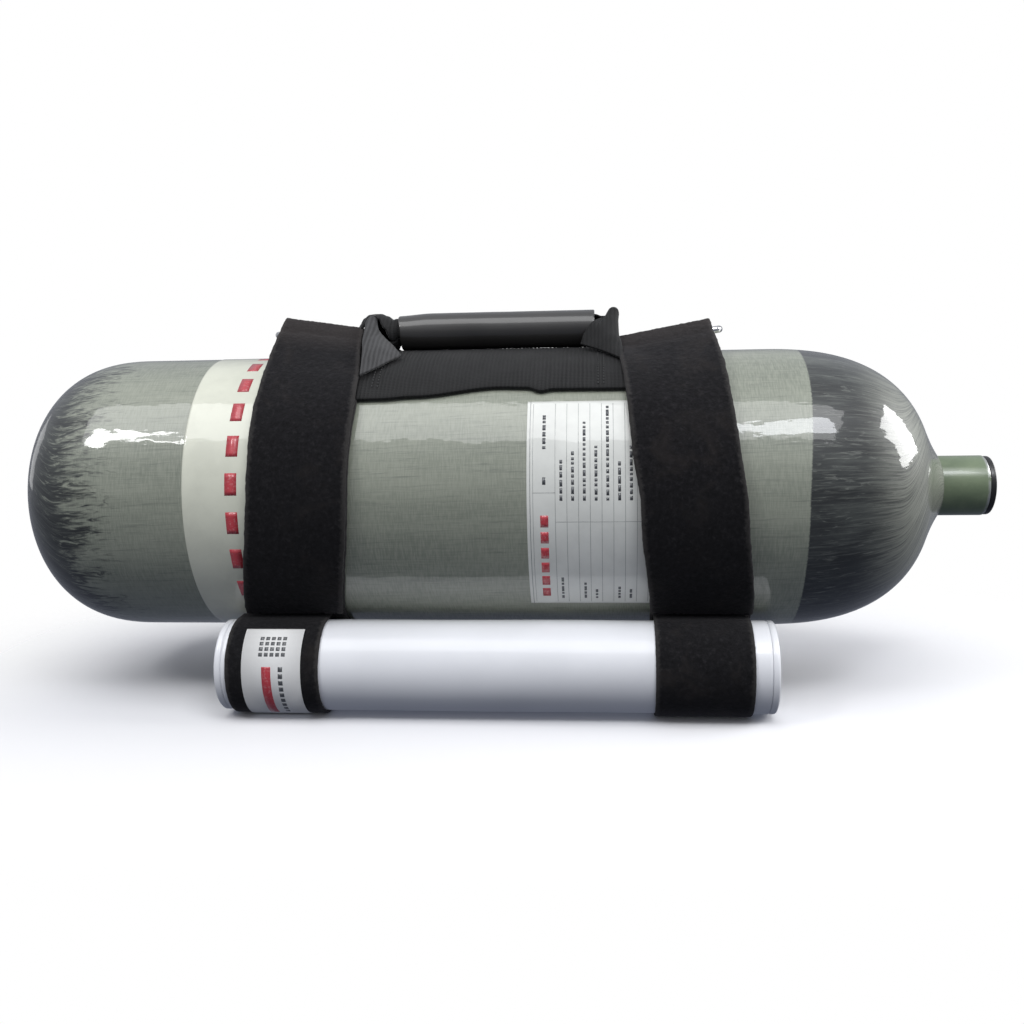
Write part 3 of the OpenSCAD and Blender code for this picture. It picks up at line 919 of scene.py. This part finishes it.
# ---------------------------------------------------------------- straps

# Height over the axis, the strap's middle X and its width there, all in millimetres
STRAP_KEYS = {
    LEFT: [(-82, -113.0, 54.5), (-58, -112.0, 54.5), (-38, -107.5, 54.5), (-16, -103.3, 54.0),
           (6, -101.2, 53.0), (27, -100.6, 53.0), (52, -99.9, 54.2), (70, -99.8, 52.8),
           (85, -101.0, 47.5), (98, -101.0, 44.5)],
    RIGHT: [(-82, 111.5, 54.0), (-50, 109.8, 54.0), (-16, 105.3, 54.0), (6, 104.0, 53.5),
            (27, 100.7, 54.0), (52, 98.2, 53.5), (70, 96.0, 53.0), (85, 92.6, 52.8),
            (98, 91.0, 51.6)],
}
# Slope of each ring along X: its outer end stands higher
RING_TILT = {LEFT: 0.05, RIGHT: 0.14}


def ring_height(side):
    """Height of a side's cinch ring above the axis."""
    lo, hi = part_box(f"{SIDE_NAME[side]}_ring")
    return (lo.z + hi.z) / 2 - AXIS_Z


def strap_lie(side, height):
    """A strap's middle X and its width at this height over the axis."""
    return [v * MM for v in keyed(STRAP_KEYS[side], height / MM, straight)]


def leaving_angle(bar, face, r, bend_r):
    """Where a strap leaves the circle of radius r for the bend round a bar; a negative
    bend_r passes on the bar's other side."""
    return math.atan2(bar[1], bar[0]) - face * math.acos((r - bend_r) / math.hypot(*bar))


def strip_section(half_width, thickness, columns):
    """Closed outline of a strap's cross-section as (across, outwards) with rounded edges."""
    half = thickness / 2
    flat = half_width - half
    top = [(mix(-flat, flat, i / columns), half) for i in range(columns + 1)]
    bottom = [(-a, -b) for a, b in top]
    bend = [(flat + half * math.cos(t), half * math.sin(t)) for t in (1.05, 0.52, 0, -0.52, -1.05)]
    return top + bend + bottom + [(-a, -b) for a, b in bend]


def strip(name, path, half_width, thickness, columns, point):
    """Cloth along a path of (y, z). Its half width is half_width(z), and
    point(across, out, half, y, z, ny, nz) places each point of its section. The mesh carries
    'lay': the place across from -1 to 1, the length along it, and z."""
    rings, uvs, lays = [], [], []
    for y, z, ny, nz, along in stations(path):
        half = half_width(z)
        section = strip_section(half, thickness, columns)
        rings.append([point(across, out, half, y, z, ny, nz) for across, out in section])
        uvs.append([(along, across) for across, out in section])
        lays.append([(across / half, along, z) for across, out in section])
    cut_length[name] = along
    return loft(name, rings, uvs=uvs, attributes={"lay": lays})


def strap_mesh(name, path, side, least, thickness=STRAP_T, columns=38, lift=None,
               fuzz=0.26 * MM, inset=0.0):
    """A strap that follows a path of (y, z over the axis), with fuzz, waves and a soft edge.
    Its middle layer stays outside the radius least."""
    def half_width(z):
        return strap_lie(side, z)[1] / 2 - inset

    def point(across, out, half, y, z, ny, nz):
        p = Vector((strap_lie(side, z)[0] + across, y + ny * out, AXIS_Z + z + nz * out))
        edge = smooth(0.86, 1.0, abs(across) / half)
        rough = noise.fractal(p * 900, 1.0, 2.0, 3) * fuzz
        wave = noise.noise(p * 22 + Vector((7, side * 5, 3))) * 0.4 * MM
        ragged = noise.noise(p * 380 + Vector((3, 1, side))) * 0.4 * MM
        ragged += noise.noise(p * 60 + Vector((5, 2, side))) * 0.5 * MM
        # The inside never reaches in towards the cylinder
        shift = max(0.0, wave) + (rough + 0.25 * MM * edge if out > 0 else max(0.0, rough))
        p += Vector((math.copysign(ragged * edge, across), ny * shift, nz * shift))
        # The outer end of the ring stands higher, and takes the strap with it
        p.z += RING_TILT[side] * across * side * smooth(52 * MM, 86 * MM, z)
        if lift:
            p.z += lift(y, z, across * side)
        facing = (ny * y + nz * z) / math.hypot(y, z)
        py, pz = pushed_out(p.y, p.z - AXIS_Z, least + out * facing)
        return Vector((p.x, py, AXIS_Z + pz))

    return strip(name, path, half_width, thickness, columns, point)


def make_strap(side):
    bar_z = ring_height(side)
    rear_bar, front_bar = (RING_HALF_GAP, bar_z), (-RING_HALF_GAP, bar_z)
    rear_angle = leaving_angle(rear_bar, REAR, BAND_R, BEND_R)
    under_angle = leaving_angle(front_bar, FRONT, BAND_R, -BEND_R)
    over_angle = leaving_angle(front_bar, FRONT, TAIL_R, BEND_R)
    # The tail stops 10 degrees short of the tubes
    tail_end = math.radians(270 - TUBE_TILT - 10)
    name = SIDE_NAME[side]

    band_path = arc(BEND_R, rear_angle + math.radians(285), rear_angle, 20, rear_bar)
    band_path += arc(BAND_R, rear_angle, under_angle - 2 * math.pi, 160)
    band_path += arc(BEND_R, under_angle - math.pi, math.radians(-30), 6, front_bar)
    band = strap_mesh(f"{name}_strap_band", resampled(band_path, 1.9 * MM), side, BAND_R)
    finish_piece(band, "pile", "carrier", [f"{name}_band"])

    # The tail comes up through the ring, over its front bar, and down the front
    puff = {LEFT: (1.0 * MM, 5.6 * MM), RIGHT: (0.1 * MM, 1.9 * MM)}[side]

    def lift(y, z, outwards):
        """The fold stands off the bar, more towards the strap's outer edge."""
        near = smooth(bar_z - 30 * MM, bar_z + 3 * MM, z) * smooth(-3.0 * MM, -7.0 * MM, y)
        crease = 0.5 * MM * math.exp(-((z - bar_z + 2.5 * MM) / (1.6 * MM)) ** 2)
        return near * mix(*puff, (outwards + 24 * MM) / (48 * MM)) - crease

    tail_path = arc(BEND_R, math.radians(-45), over_angle, 20, front_bar)
    tail_path += arc(TAIL_R, over_angle, tail_end, 90)
    tail = strap_mesh(f"{name}_strap_tail", resampled(tail_path, 1.4 * MM), side,
                      TAIL_R - 0.6 * MM, lift=lift, columns=44)
    finish_piece(tail, "pile", None, [f"{name}_tail"])
    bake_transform(tail)

    patch_path = arc(TAIL_R - STRAP_T / 2 - 0.55 * MM, math.radians(155),
                     tail_end - math.radians(1), 50)
    patch = strap_mesh(f"{name}_hooks", patch_path, side, BAND_R, 0.7 * MM, 20,
                       fuzz=0.05 * MM, inset=4.5 * MM)
    finish_piece(patch, "hook", f"{name}_flap", [f"{name}_hook_patch"])


def make_ring(side):
    """A bent wire rectangle with rounded corners and a weld, its outer end a little high."""
    lo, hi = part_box(f"{SIDE_NAME[side]}_ring")
    middle, wire = (lo + hi) / 2, 2.0 * MM
    half_x, half_y, corner = (hi.x - lo.x) / 2 - wire, (hi.y - lo.y) / 2 - wire, 3.4 * MM
    path = []
    for cx, cy, start in ((1, 1, 0), (-1, 1, 90), (-1, -1, 180), (1, -1, 270)):
        for i in range(9):
            a = math.radians(start + 90 * i / 8)
            path.append((cx * (half_x - corner) + corner * math.cos(a),
                         cy * (half_y - corner) + corner * math.sin(a)))
    path = resampled([*path, path[0]], 1.6 * MM)[:-1]
    count = len(path)
    rings = []
    for i, (x, y) in enumerate(path):
        px, py = path[i - 1]
        qx, qy = path[(i + 1) % count]
        tangent = Vector((qx - px, qy - py, 0)).normalized()
        sideways = Vector((tangent.y, -tangent.x, 0))
        # The weld is a low swelling in the middle of the rear bar
        r = wire * (1 + 0.06 * math.exp(-(x / (1.6 * MM)) ** 2) * (y > 0))
        centre = Vector((middle.x + x, middle.y + y, middle.z + RING_TILT[side] * x * side))
        rings.append([centre + sideways * (r * math.cos(t)) + Vector((0, 0, r * math.sin(t)))
                      for t in (2 * math.pi * k / 16 for k in range(16))])
    ring = loft(f"{SIDE_NAME[side]}_cinch_ring", rings, capped=False, looped=True)
    finish_piece(ring, "steel", "carrier", [f"{SIDE_NAME[side]}_ring"])


# ---------------------------------------------------------------- support tubes

def loop_path(face):
    """Round the tube and up to the strap on both sides, as (y, z) from the tube's centre."""
    towards = math.pi / 2 + face * math.radians(TUBE_TILT)
    open_half, reach = math.radians(35), 9.0 * MM
    path = arc(LOOP_R, towards + open_half, towards + 2 * math.pi - open_half, 90)
    (y0, z0), (y1, z1) = path[0], path[-1]
    (dy0, dz0), (dy1, dz1) = headings(path)[0], headings(path)[-1]
    return [(y0 - dy0 * reach, z0 - dz0 * reach), *path, (y1 + dy1 * reach, z1 + dz1 * reach)]


def make_loop(side, face):
    name = f"{SIDE_NAME[side]}_{FACE_NAME[face]}_loop"
    lo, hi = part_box(name)
    middle, centre = (lo.x + hi.x) / 2, (face * TUBE_Y, TUBE_Z)

    def point(across, out, half, y, z, ny, nz):
        p = Vector((middle + across, centre[0] + y + ny * out, centre[1] + z + nz * out))
        rough = noise.fractal(p * 900, 1.0, 2.0, 3) * 0.09 * MM
        edge = smooth(0.85, 1.0, abs(across) / half)
        ragged = noise.noise(p * 260 + Vector((1, side, face))) * 0.3 * MM
        p += Vector((math.copysign(ragged * edge, across), ny * rough, nz * rough))
        p.z = max(p.z, 0.05 * MM)
        return p

    loop = strip(f"{name}_webbing", resampled(loop_path(face), 1.6 * MM), lambda z: LOOP_HALF,
                 LOOP_T, 34, point)
    finish_piece(loop, "pile", "carrier", [name])


def make_loop_label():
    """A white cloth label, with a plain grid of squares at the top, then stripes."""
    lo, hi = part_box("loop_label")
    centre = (FRONT * TUBE_Y, TUBE_Z)
    outer = LOOP_R + LOOP_T / 2 + 0.3 * MM

    def patch(x0, x1, from_deg, to_deg, radius, thickness):
        return curved_patch(x0, x1, math.radians(from_deg), math.radians(to_deg), radius,
                            thickness, centre)

    label = joined("loop_label_cloth",
                   [patch(lo.x, hi.x, LABEL_TOP, LABEL_BOTTOM, outer, 0.5 * MM)])
    finish_piece(label, "cloth", "carrier", ["loop_label"])
    marks = []
    for column in range(5):
        for row in range(4):
            x = lo.x + 9 * MM + column * 3.1 * MM
            marks.append((x, x + 2.1 * MM, 130 + row * 6.6, 134.4 + row * 6.6))
    for i in range(9):
        marks.append((lo.x + 20 * MM, lo.x + 22.4 * MM, 166 + 8 * i, 171.6 + 8 * i))
    stripe = [(lo.x + 11 * MM, lo.x + 16 * MM, 166, 240)]
    for name, places, ink in (("loop_label_marks", marks, "ink_grey"),
                              ("loop_label_stripe", stripe, "ink_red")):
        parts = [patch(*place, outer + 0.02 * MM, INK_T) for place in places]
        finish_piece(joined(name, parts), ink, "carrier")


def make_tube(face):
    name = FACE_NAME[face]
    lo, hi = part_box(f"{name}_tube")
    centre = (face * TUBE_Y, TUBE_Z)
    body = f"{name}_foot"
    inner, steps = TUBE_R - 2.5 * MM, 90

    def dents(x, r, angle):
        """The tube is a little uneven outside, as a soft extrusion is."""
        p = Vector((x * 14, math.cos(angle) * 1.1, math.sin(angle) * 1.1 + face))
        return noise.noise(p) * 0.3 * MM if r > inner else 0.0

    profile = [(lo.x, inner), (lo.x, TUBE_R - 0.4 * MM), (lo.x + 0.4 * MM, TUBE_R)]
    profile += [(mix(lo.x + 1.5 * MM, hi.x - 1.5 * MM, i / steps), TUBE_R)
                for i in range(steps + 1)]
    profile += [(hi.x - 0.4 * MM, TUBE_R), (hi.x, TUBE_R - 0.4 * MM), (hi.x, inner)]
    tube = turned(f"{name}_tube_wall", profile, ROUND, centre, dents, capped=False, looped=True)
    finish_piece(tube, "tube", body, [f"{name}_tube"])
    for side in (LEFT, RIGHT):
        cap_name = f"{name}_{SIDE_NAME[side]}_cap"
        cap_lo, cap_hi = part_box(cap_name)
        end, seat = (cap_hi.x, hi.x) if side == RIGHT else (cap_lo.x, lo.x)
        dish, rim, deep = end - side * 0.9 * MM, seat + side * 0.15 * MM, seat - side * 13 * MM
        skirt_r, bore_r, core_r = inner - 0.1 * MM, inner - 2.1 * MM, 0.3 * MM
        corners = [(dish, core_r), (dish, TUBE_R - 7 * MM), (end, TUBE_R - 5.4 * MM),
                   (end, TUBE_R), (rim, TUBE_R), (rim, skirt_r), (deep, skirt_r), (deep, bore_r),
                   (seat, bore_r), (seat, core_r)]
        cap = turned(f"{cap_name}_moulding", rounded_profile(corners, 2.6 * MM, 8), ROUND, centre)
        finish_piece(cap, "tube", body, [cap_name])


# ---------------------------------------------------------------- handle

def make_saddle():
    """Ribbed webbing over the top of the cylinder, from strap to strap."""
    x0, x1 = -78 * MM, 73.5 * MM
    columns, rows = round((x1 - x0) / (0.55 * MM)), 44
    rib_pitch, half, rear_edge, reach = 2.2 * MM, STRAP_T / 2, -41.0, 0.115
    # X in millimetres, and the angle where the front edge lies
    front_edge = [(-78, 44.8), (-60, 44.6), (-42, 43.6), (4, 39.4), (18, 39.8), (26, 41.8),
                  (32, 40.8), (74, 41.0)]

    def surface(u, v, out):
        """u along X, v round the cylinder from front to back, out from the middle layer."""
        x = mix(x0, x1, u)
        phi = mix(keyed(front_edge, x / MM)[0], rear_edge, v)
        rib = 0.0
        if out > 0:
            rib = 0.09 * MM * math.cos(2 * math.pi * x / rib_pitch) * (1 + 0.9 * math.sin(x * 700))
            # The grip lies on it, and the rolled webbing is sewn down beside the grip
            rib += 0.32 * MM * math.exp(-(phi / 9) ** 2)
            rib += 2.1 * MM * math.exp(-(phi / 6) ** 2 - ((x + 61.2 * MM) / (1.2 * MM)) ** 2)
        r = BAND_R + out + rib
        r += 0.25 * MM * max(0.0, noise.noise(Vector((x * 30, phi * 0.05, 1))))
        return (x, *on_circle(r, math.radians(90 + phi), AXIS))

    # The section as (v, distance out, distance along the cloth), round both faces and both edges
    there = [k / rows for k in range(rows + 1)]
    section = [(v, half, v * reach) for v in there]
    section += [(1.008, out, 0.116) for out in (half * 0.5, -half * 0.5)]
    section += [(v, -half, v * reach) for v in reversed(there)]
    section += [(-0.008, out, -0.001) for out in (-half * 0.5, half * 0.5)]
    rings, uvs = [], []
    for i in range(columns + 1):
        u = i / columns
        rings.append([surface(u, v, out) for v, out, along in section])
        uvs.append([(mix(x0, x1, u), along) for v, out, along in section])
    saddle = loft("saddle", rings, uvs=uvs, fan=False)
    finish_piece(saddle, "webbing", "carrier", ["saddle_webbing"])


# The handle's webbing lies on the saddle and never sinks into it
ON_SADDLE = BAND_R + STRAP_T / 2 + 1.2 * MM
FOLD_V = 0.05


def through(points, count):
    """Evenly spaced points of a smooth curve through the given ones; millimetres in,
    metres out."""
    pts = [Vector(p) * MM for p in points]
    pts = [pts[0] * 2 - pts[1], *pts, pts[-1] * 2 - pts[-2]]
    fine = []
    for a, b, c, d in zip(pts, pts[1:], pts[2:], pts[3:]):
        for i in range(16):
            t = i / 16
            fine.append(0.5 * (2 * b + (c - a) * t + (2 * a - 5 * b + 4 * c - d) * t * t
                               + (3 * b - a - 3 * c + d) * t ** 3))
    fine.append(pts[-2])
    return [Vector(p) for p in even_points(fine, count)]


def cloth(name, rows, uvs, thickness):
    """A sheet through rows of points, thickened half to each side."""
    wide = len(rows[0])
    corners = [j * wide + i for j in range(len(rows) - 1) for i in range(wide - 1)]
    faces = [(k, k + 1, k + wide + 1, k + wide) for k in corners]
    sheet = new_object(name, [p for row in rows for p in row], faces, uvs)
    solid = sheet.modifiers.new("thickness", "SOLIDIFY")
    solid.thickness = thickness
    solid.offset = 0.0
    graph = bpy.context.evaluated_depsgraph_get()
    mesh = bpy.data.meshes.new_from_object(sheet.evaluated_get(graph))
    sheet.modifiers.clear()
    sheet.data = mesh
    return sheet


def sheet_between(name, south, north, west, east, bulge, wrinkle):
    """A webbing sheet filled in between four edges; all points over the axis, millimetres."""
    count = 40
    s, n, w, e = (through(edge, count) for edge in (south, north, west, east))
    rows, uvs = [], []
    away = ((s[-1] - s[0]) + (n[-1] - n[0])).cross((w[-1] - w[0]) + (e[-1] - e[0])).normalized()
    if away.y > 0:
        away.negate()
    for j in range(count + 1):
        v = j / count
        row = []
        for i in range(count + 1):
            u = i / count
            p = s[i] * (1 - v) + n[i] * v + w[j] * (1 - u) + e[j] * u
            p -= (s[0] * (1 - u) + s[-1] * u) * (1 - v) + (n[0] * (1 - u) + n[-1] * u) * v
            p += away * (bulge * 16 * u * (1 - u) * v * (1 - v))
            inner = min(1.0, 6 * u * (1 - u), 6 * v * (1 - v))
            p += away * (wrinkle * inner * noise.noise(p * 110))
            p.y, p.z = pushed_out(p.y, p.z, ON_SADDLE)
            row.append(p + Vector((0, 0, AXIS_Z)))
            uvs.append((p.x, v * FOLD_V))
        rows.append(row)
    return cloth(name, rows, uvs, 1.4 * MM)


# The roll behind each flap. X, width and height of its section, height of its middle over the
# axis, and the angles where it starts at the top and ends at the bottom, in degrees
ROLL_KEYS = {
    LEFT: [(-81, 10.5, 8.5, 89.0, 172, -150), (-78.5, 12, 10.6, 90.4, 152, -150),
           (-76, 12, 11.6, 91.0, 128, -150), (-72.6, 12, 11.9, 91.0, 118, -150),
           (-69.5, 11.6, 11.6, 91.3, 130, -150), (-66, 10.6, 10.3, 91.3, 160, -150),
           (-62.2, 9.2, 8.6, 90.8, 200, -155), (-60.6, 8.4, 8.4, 91.5, 205, -155),
           (-59.3, 7.1, 7.1, 92.7, 205, -155), (-50, 7.1, 7.1, 92.7, 180, -170)],
    RIGHT: [(46, 7.2, 7.2, 92.7, 88, -170), (54.4, 7.4, 7.4, 92.7, 92, -165),
            (58, 8.0, 8.0, 91.0, 100, -150), (61, 8.5, 8.6, 90.4, 104, -150),
            (63, 7.5, 11.8, 91.2, 108, -150), (65.3, 5.5, 12.2, 91.3, 108, -150),
            (66.4, 5.0, 11.0, 91.0, 112, -150), (66.9, 4.5, 5.0, 88.0, 130, -150)],
}


def make_roll(side):
    keys = ROLL_KEYS[side]
    steps, turns = 60, 44
    rows, uvs = [], []
    for i in range(steps + 1):
        x = mix(keys[0][0], keys[-1][0], i / steps)
        width, height, middle, start, end = keyed(keys, x)
        row = []
        for j in range(turns + 1):
            a = math.radians(mix(start, end, j / turns))
            pinch = 1.0 - 0.35 * smooth(0.5, 1.0, math.sin(a)) * (side == RIGHT)
            y, z = pushed_out(width * math.cos(a) * pinch, middle + height * math.sin(a),
                              ON_SADDLE / MM)
            row.append((x * MM, y * MM, AXIS_Z + z * MM))
            uvs.append((x * MM, j / turns * FOLD_V))
        rows.append(row)
    return cloth(f"{SIDE_NAME[side]}_handle_roll", rows, uvs, 1.3 * MM)


def make_handle_webbing():
    """The webbing opens out past each end of the grip and runs down to the straps."""
    lapel = sheet_between(
        "left_handle_lapel",
        [(-72.6, -49, 69.6), (-64.8, -41.5, 73.3), (-58.6, -34.5, 76.8), (-53.4, -28, 79.3)],
        [(-76.3, -13, 93.5), (-76.5, -9, 98.6), (-74.9, -6, 101.5), (-71.6, -3.5, 102.9)],
        [(-72.6, -49, 69.6), (-73.4, -38, 79.8), (-75.2, -25, 88), (-76.3, -13, 93.5)],
        [(-53.4, -28, 79.3), (-59.4, -21, 84.9), (-65.4, -15.5, 89.6), (-69.8, -10.5, 94.8),
         (-71.6, -3.5, 102.9)],
        bulge=1.2 * MM, wrinkle=0.5 * MM)
    twist = sheet_between(
        "right_handle_twist",
        [(46.5, -16, 83.8), (58.8, -25, 79.8), (69.5, -36, 75.5)],
        [(57.8, -7.0, 98.0), (61.4, -5.5, 99.3), (62.3, -4.6, 102.0), (63.4, -3.6, 103.6),
         (65.2, -3.0, 103.9), (66.8, -3.0, 103.0), (67.3, -3.4, 100.5), (66.7, -4.0, 98.2),
         (65.2, -4.6, 97.0), (64.7, -5.0, 95.4)],
        [(46.5, -16, 83.8), (48.6, -14, 89.7), (52.2, -11.8, 95.2), (57.8, -7.0, 98.0)],
        [(69.5, -36, 75.5), (68.9, -24, 82.6), (67.0, -13, 88.2), (65.2, -7, 92.6),
         (64.7, -5.0, 95.4)],
        bulge=0.8 * MM, wrinkle=1.1 * MM)
    for side, flap in ((LEFT, lapel), (RIGHT, twist)):
        roll = make_roll(side)
        nodes = [f"{SIDE_NAME[side]}_fold"] + (["handle_core"] if side == LEFT else [])
        finish_piece(roll, "webbing", None, nodes)
        finish_piece(flap, "lapel" if side == LEFT else "webbing", None)
        for piece in (roll, flap):
            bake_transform(piece)


def make_grip():
    """A plastic tube round the webbing, its left end pressed down a little and cut at a slant."""
    outer, inner = GRIP_R, GRIP_BORE_R
    corners = [(grip_lo.x, inner), (grip_lo.x, outer), (grip_hi.x, outer), (grip_hi.x, inner)]
    ends = rounded_profile([*corners, corners[0]], 0.9 * MM, 6)
    profile = []
    for a, b in zip(ends, ends[1:]):
        pieces = max(1, round(math.dist(a, b) / (3 * MM)))
        profile += [tuple(mix(p, q, i / pieces) for p, q in zip(a, b)) for i in range(pieces)]

    def uneven(x, r, angle):
        p = Vector((x * 60, math.cos(angle), math.sin(angle)))
        return 0.1 * MM * noise.noise(p) if r > inner else 0.0

    grip = turned("grip", profile, SMALL, (0.0, GRIP_Z), uneven, capped=False, looped=True)
    for v in grip.data.vertices:
        up = (v.co.z - GRIP_Z) / outer
        v.co.z -= 1.3 * MM * max(0.0, up) * smooth(grip_lo.x + 19 * MM, grip_lo.x - 2 * MM, v.co.x)
        near = smooth(grip_lo.x + 12 * MM, grip_lo.x, v.co.x)
        v.co.x -= near * (1.7 * MM * smooth(0.0, 1.0, up) - 0.7 * MM)
    finish_piece(grip, "grip", "grip", ["handle_grip"])


def make_oring():
    section, ring_r, x = 1.3 * MM, 9.7 * MM, NECK_X - 1.35 * MM
    profile = [(x + section * math.cos(t), ring_r + section * math.sin(t))
               for t in (2 * math.pi * i / 24 for i in range(24))]
    ring = turned("plug_seal_ring", profile, SMALL, capped=False, looped=True)
    finish_piece(ring, "rubber", "plug_seal", ["plug_oring"])


# ---------------------------------------------------------------- stitching

def stitch(a, b, outward):
    """A stitch as a small bowed capsule from a to b, standing a little proud."""
    a, b, outward = Vector(a), Vector(b), Vector(outward).normalized()
    sideways = (b - a).normalized().cross(outward)
    steps, sides, radius = 6, 8, 0.28 * MM
    verts, faces = [], []
    for i in range(steps + 1):
        t = i / steps
        swell = math.sqrt(max(0.0, 1 - (2 * t - 1) ** 4)) * radius + 0.04 * MM
        centre = a.lerp(b, t) + outward * (0.15 * MM * math.sin(math.pi * t))
        for u in (2 * math.pi * k / sides for k in range(sides)):
            verts.append(tuple(centre + (sideways * math.cos(u) + outward * math.sin(u)) * swell))
    for start in range(0, steps * sides, sides):
        for k in range(sides):
            after = (k + 1) % sides
            faces.append((start + k, start + after, start + sides + after, start + sides + k))
    last = steps * sides
    faces += [tuple(range(sides - 1, -1, -1)), tuple(range(last, last + sides))]
    return verts, faces


def make_stitching():
    """Double rows where the saddle is sewn to the straps; none under the grip."""
    parts = []
    r, pitch, length = BAND_R + STRAP_T / 2 + 0.25 * MM, 1.75, 1.15
    for edge, inwards in ((-71.5 * MM, 1), (65 * MM, -1)):
        for inset in (6 * MM, 9 * MM):
            x = edge + inwards * inset
            for i in (*range(-22, -2), *range(3, 23)):
                a, b = (math.radians(90 + pitch * i), math.radians(90 + pitch * i + length))
                p, q = (x, *on_circle(r, a, AXIS)), (x, *on_circle(r, b, AXIS))
                parts.append(stitch(p, q, (0, math.cos(a), math.sin(a))))
    finish_piece(joined("saddle_stitching", parts), "thread", "carrier")


def declare_sheets():
    """Goes through each cloth piece and the size it was cut to, before it was sewn and laid; only its
    marks are looked up, and the sizes are not kept.
    """
    def sheet(name, width, length, held, rests_on, marks=()):
        [bpy.data.objects[mark] for mark in marks]
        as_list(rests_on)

    for side in SIDE_NAME.values():
        name = f"{side}_strap_band"
        sheet(name, STRAP_CUT, cut_length[name], "stretched", ["glass_overwrap", f"{side}_ring"])
        name = f"{side}_strap_tail"
        sheet(name, STRAP_CUT, cut_length[name], "laid", [f"{side}_band", f"{side}_ring"],
              [f"{side}_hooks"])
        for face in FACE_NAME.values():
            name = f"{side}_{face}_loop_webbing"
            sheet(name, WEBBING_CUT, cut_length[name], "stretched",
                  [f"{face}_tube", f"{side}_band"])
    lo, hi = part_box("loop_label")
    wrap = math.radians(LABEL_BOTTOM - LABEL_TOP)
    sheet("loop_label_cloth", hi.x - lo.x, (LOOP_R + LOOP_T / 2) * wrap, "laid",
          ["left_front_loop"], ["loop_label_marks", "loop_label_stripe"])
    sheet("saddle", *SADDLE_CUT, "laid", ["glass_overwrap"], ["saddle_stitching"])
    for name, (width, length) in HANDLE_CUTS.items():
        sheet(name, width, length, "folded", ["saddle_webbing"])


# ---------------------------------------------------------------- the scene

make_camera()
bpy.context.scene.view_settings.view_transform = "Standard"
make_world()
make_floor()
make_lights()
make_shell()
make_neck()
make_oring()
make_plug()
make_marking_band()
make_data_label()
for strap_side in (LEFT, RIGHT):
    make_strap(strap_side)
    make_ring(strap_side)
    for tube_face in (FRONT, REAR):
        make_loop(strap_side, tube_face)
make_loop_label()
for tube_face in (FRONT, REAR):
    make_tube(tube_face)
make_saddle()
make_handle_webbing()
make_grip()
make_stitching()
declare_sheets()
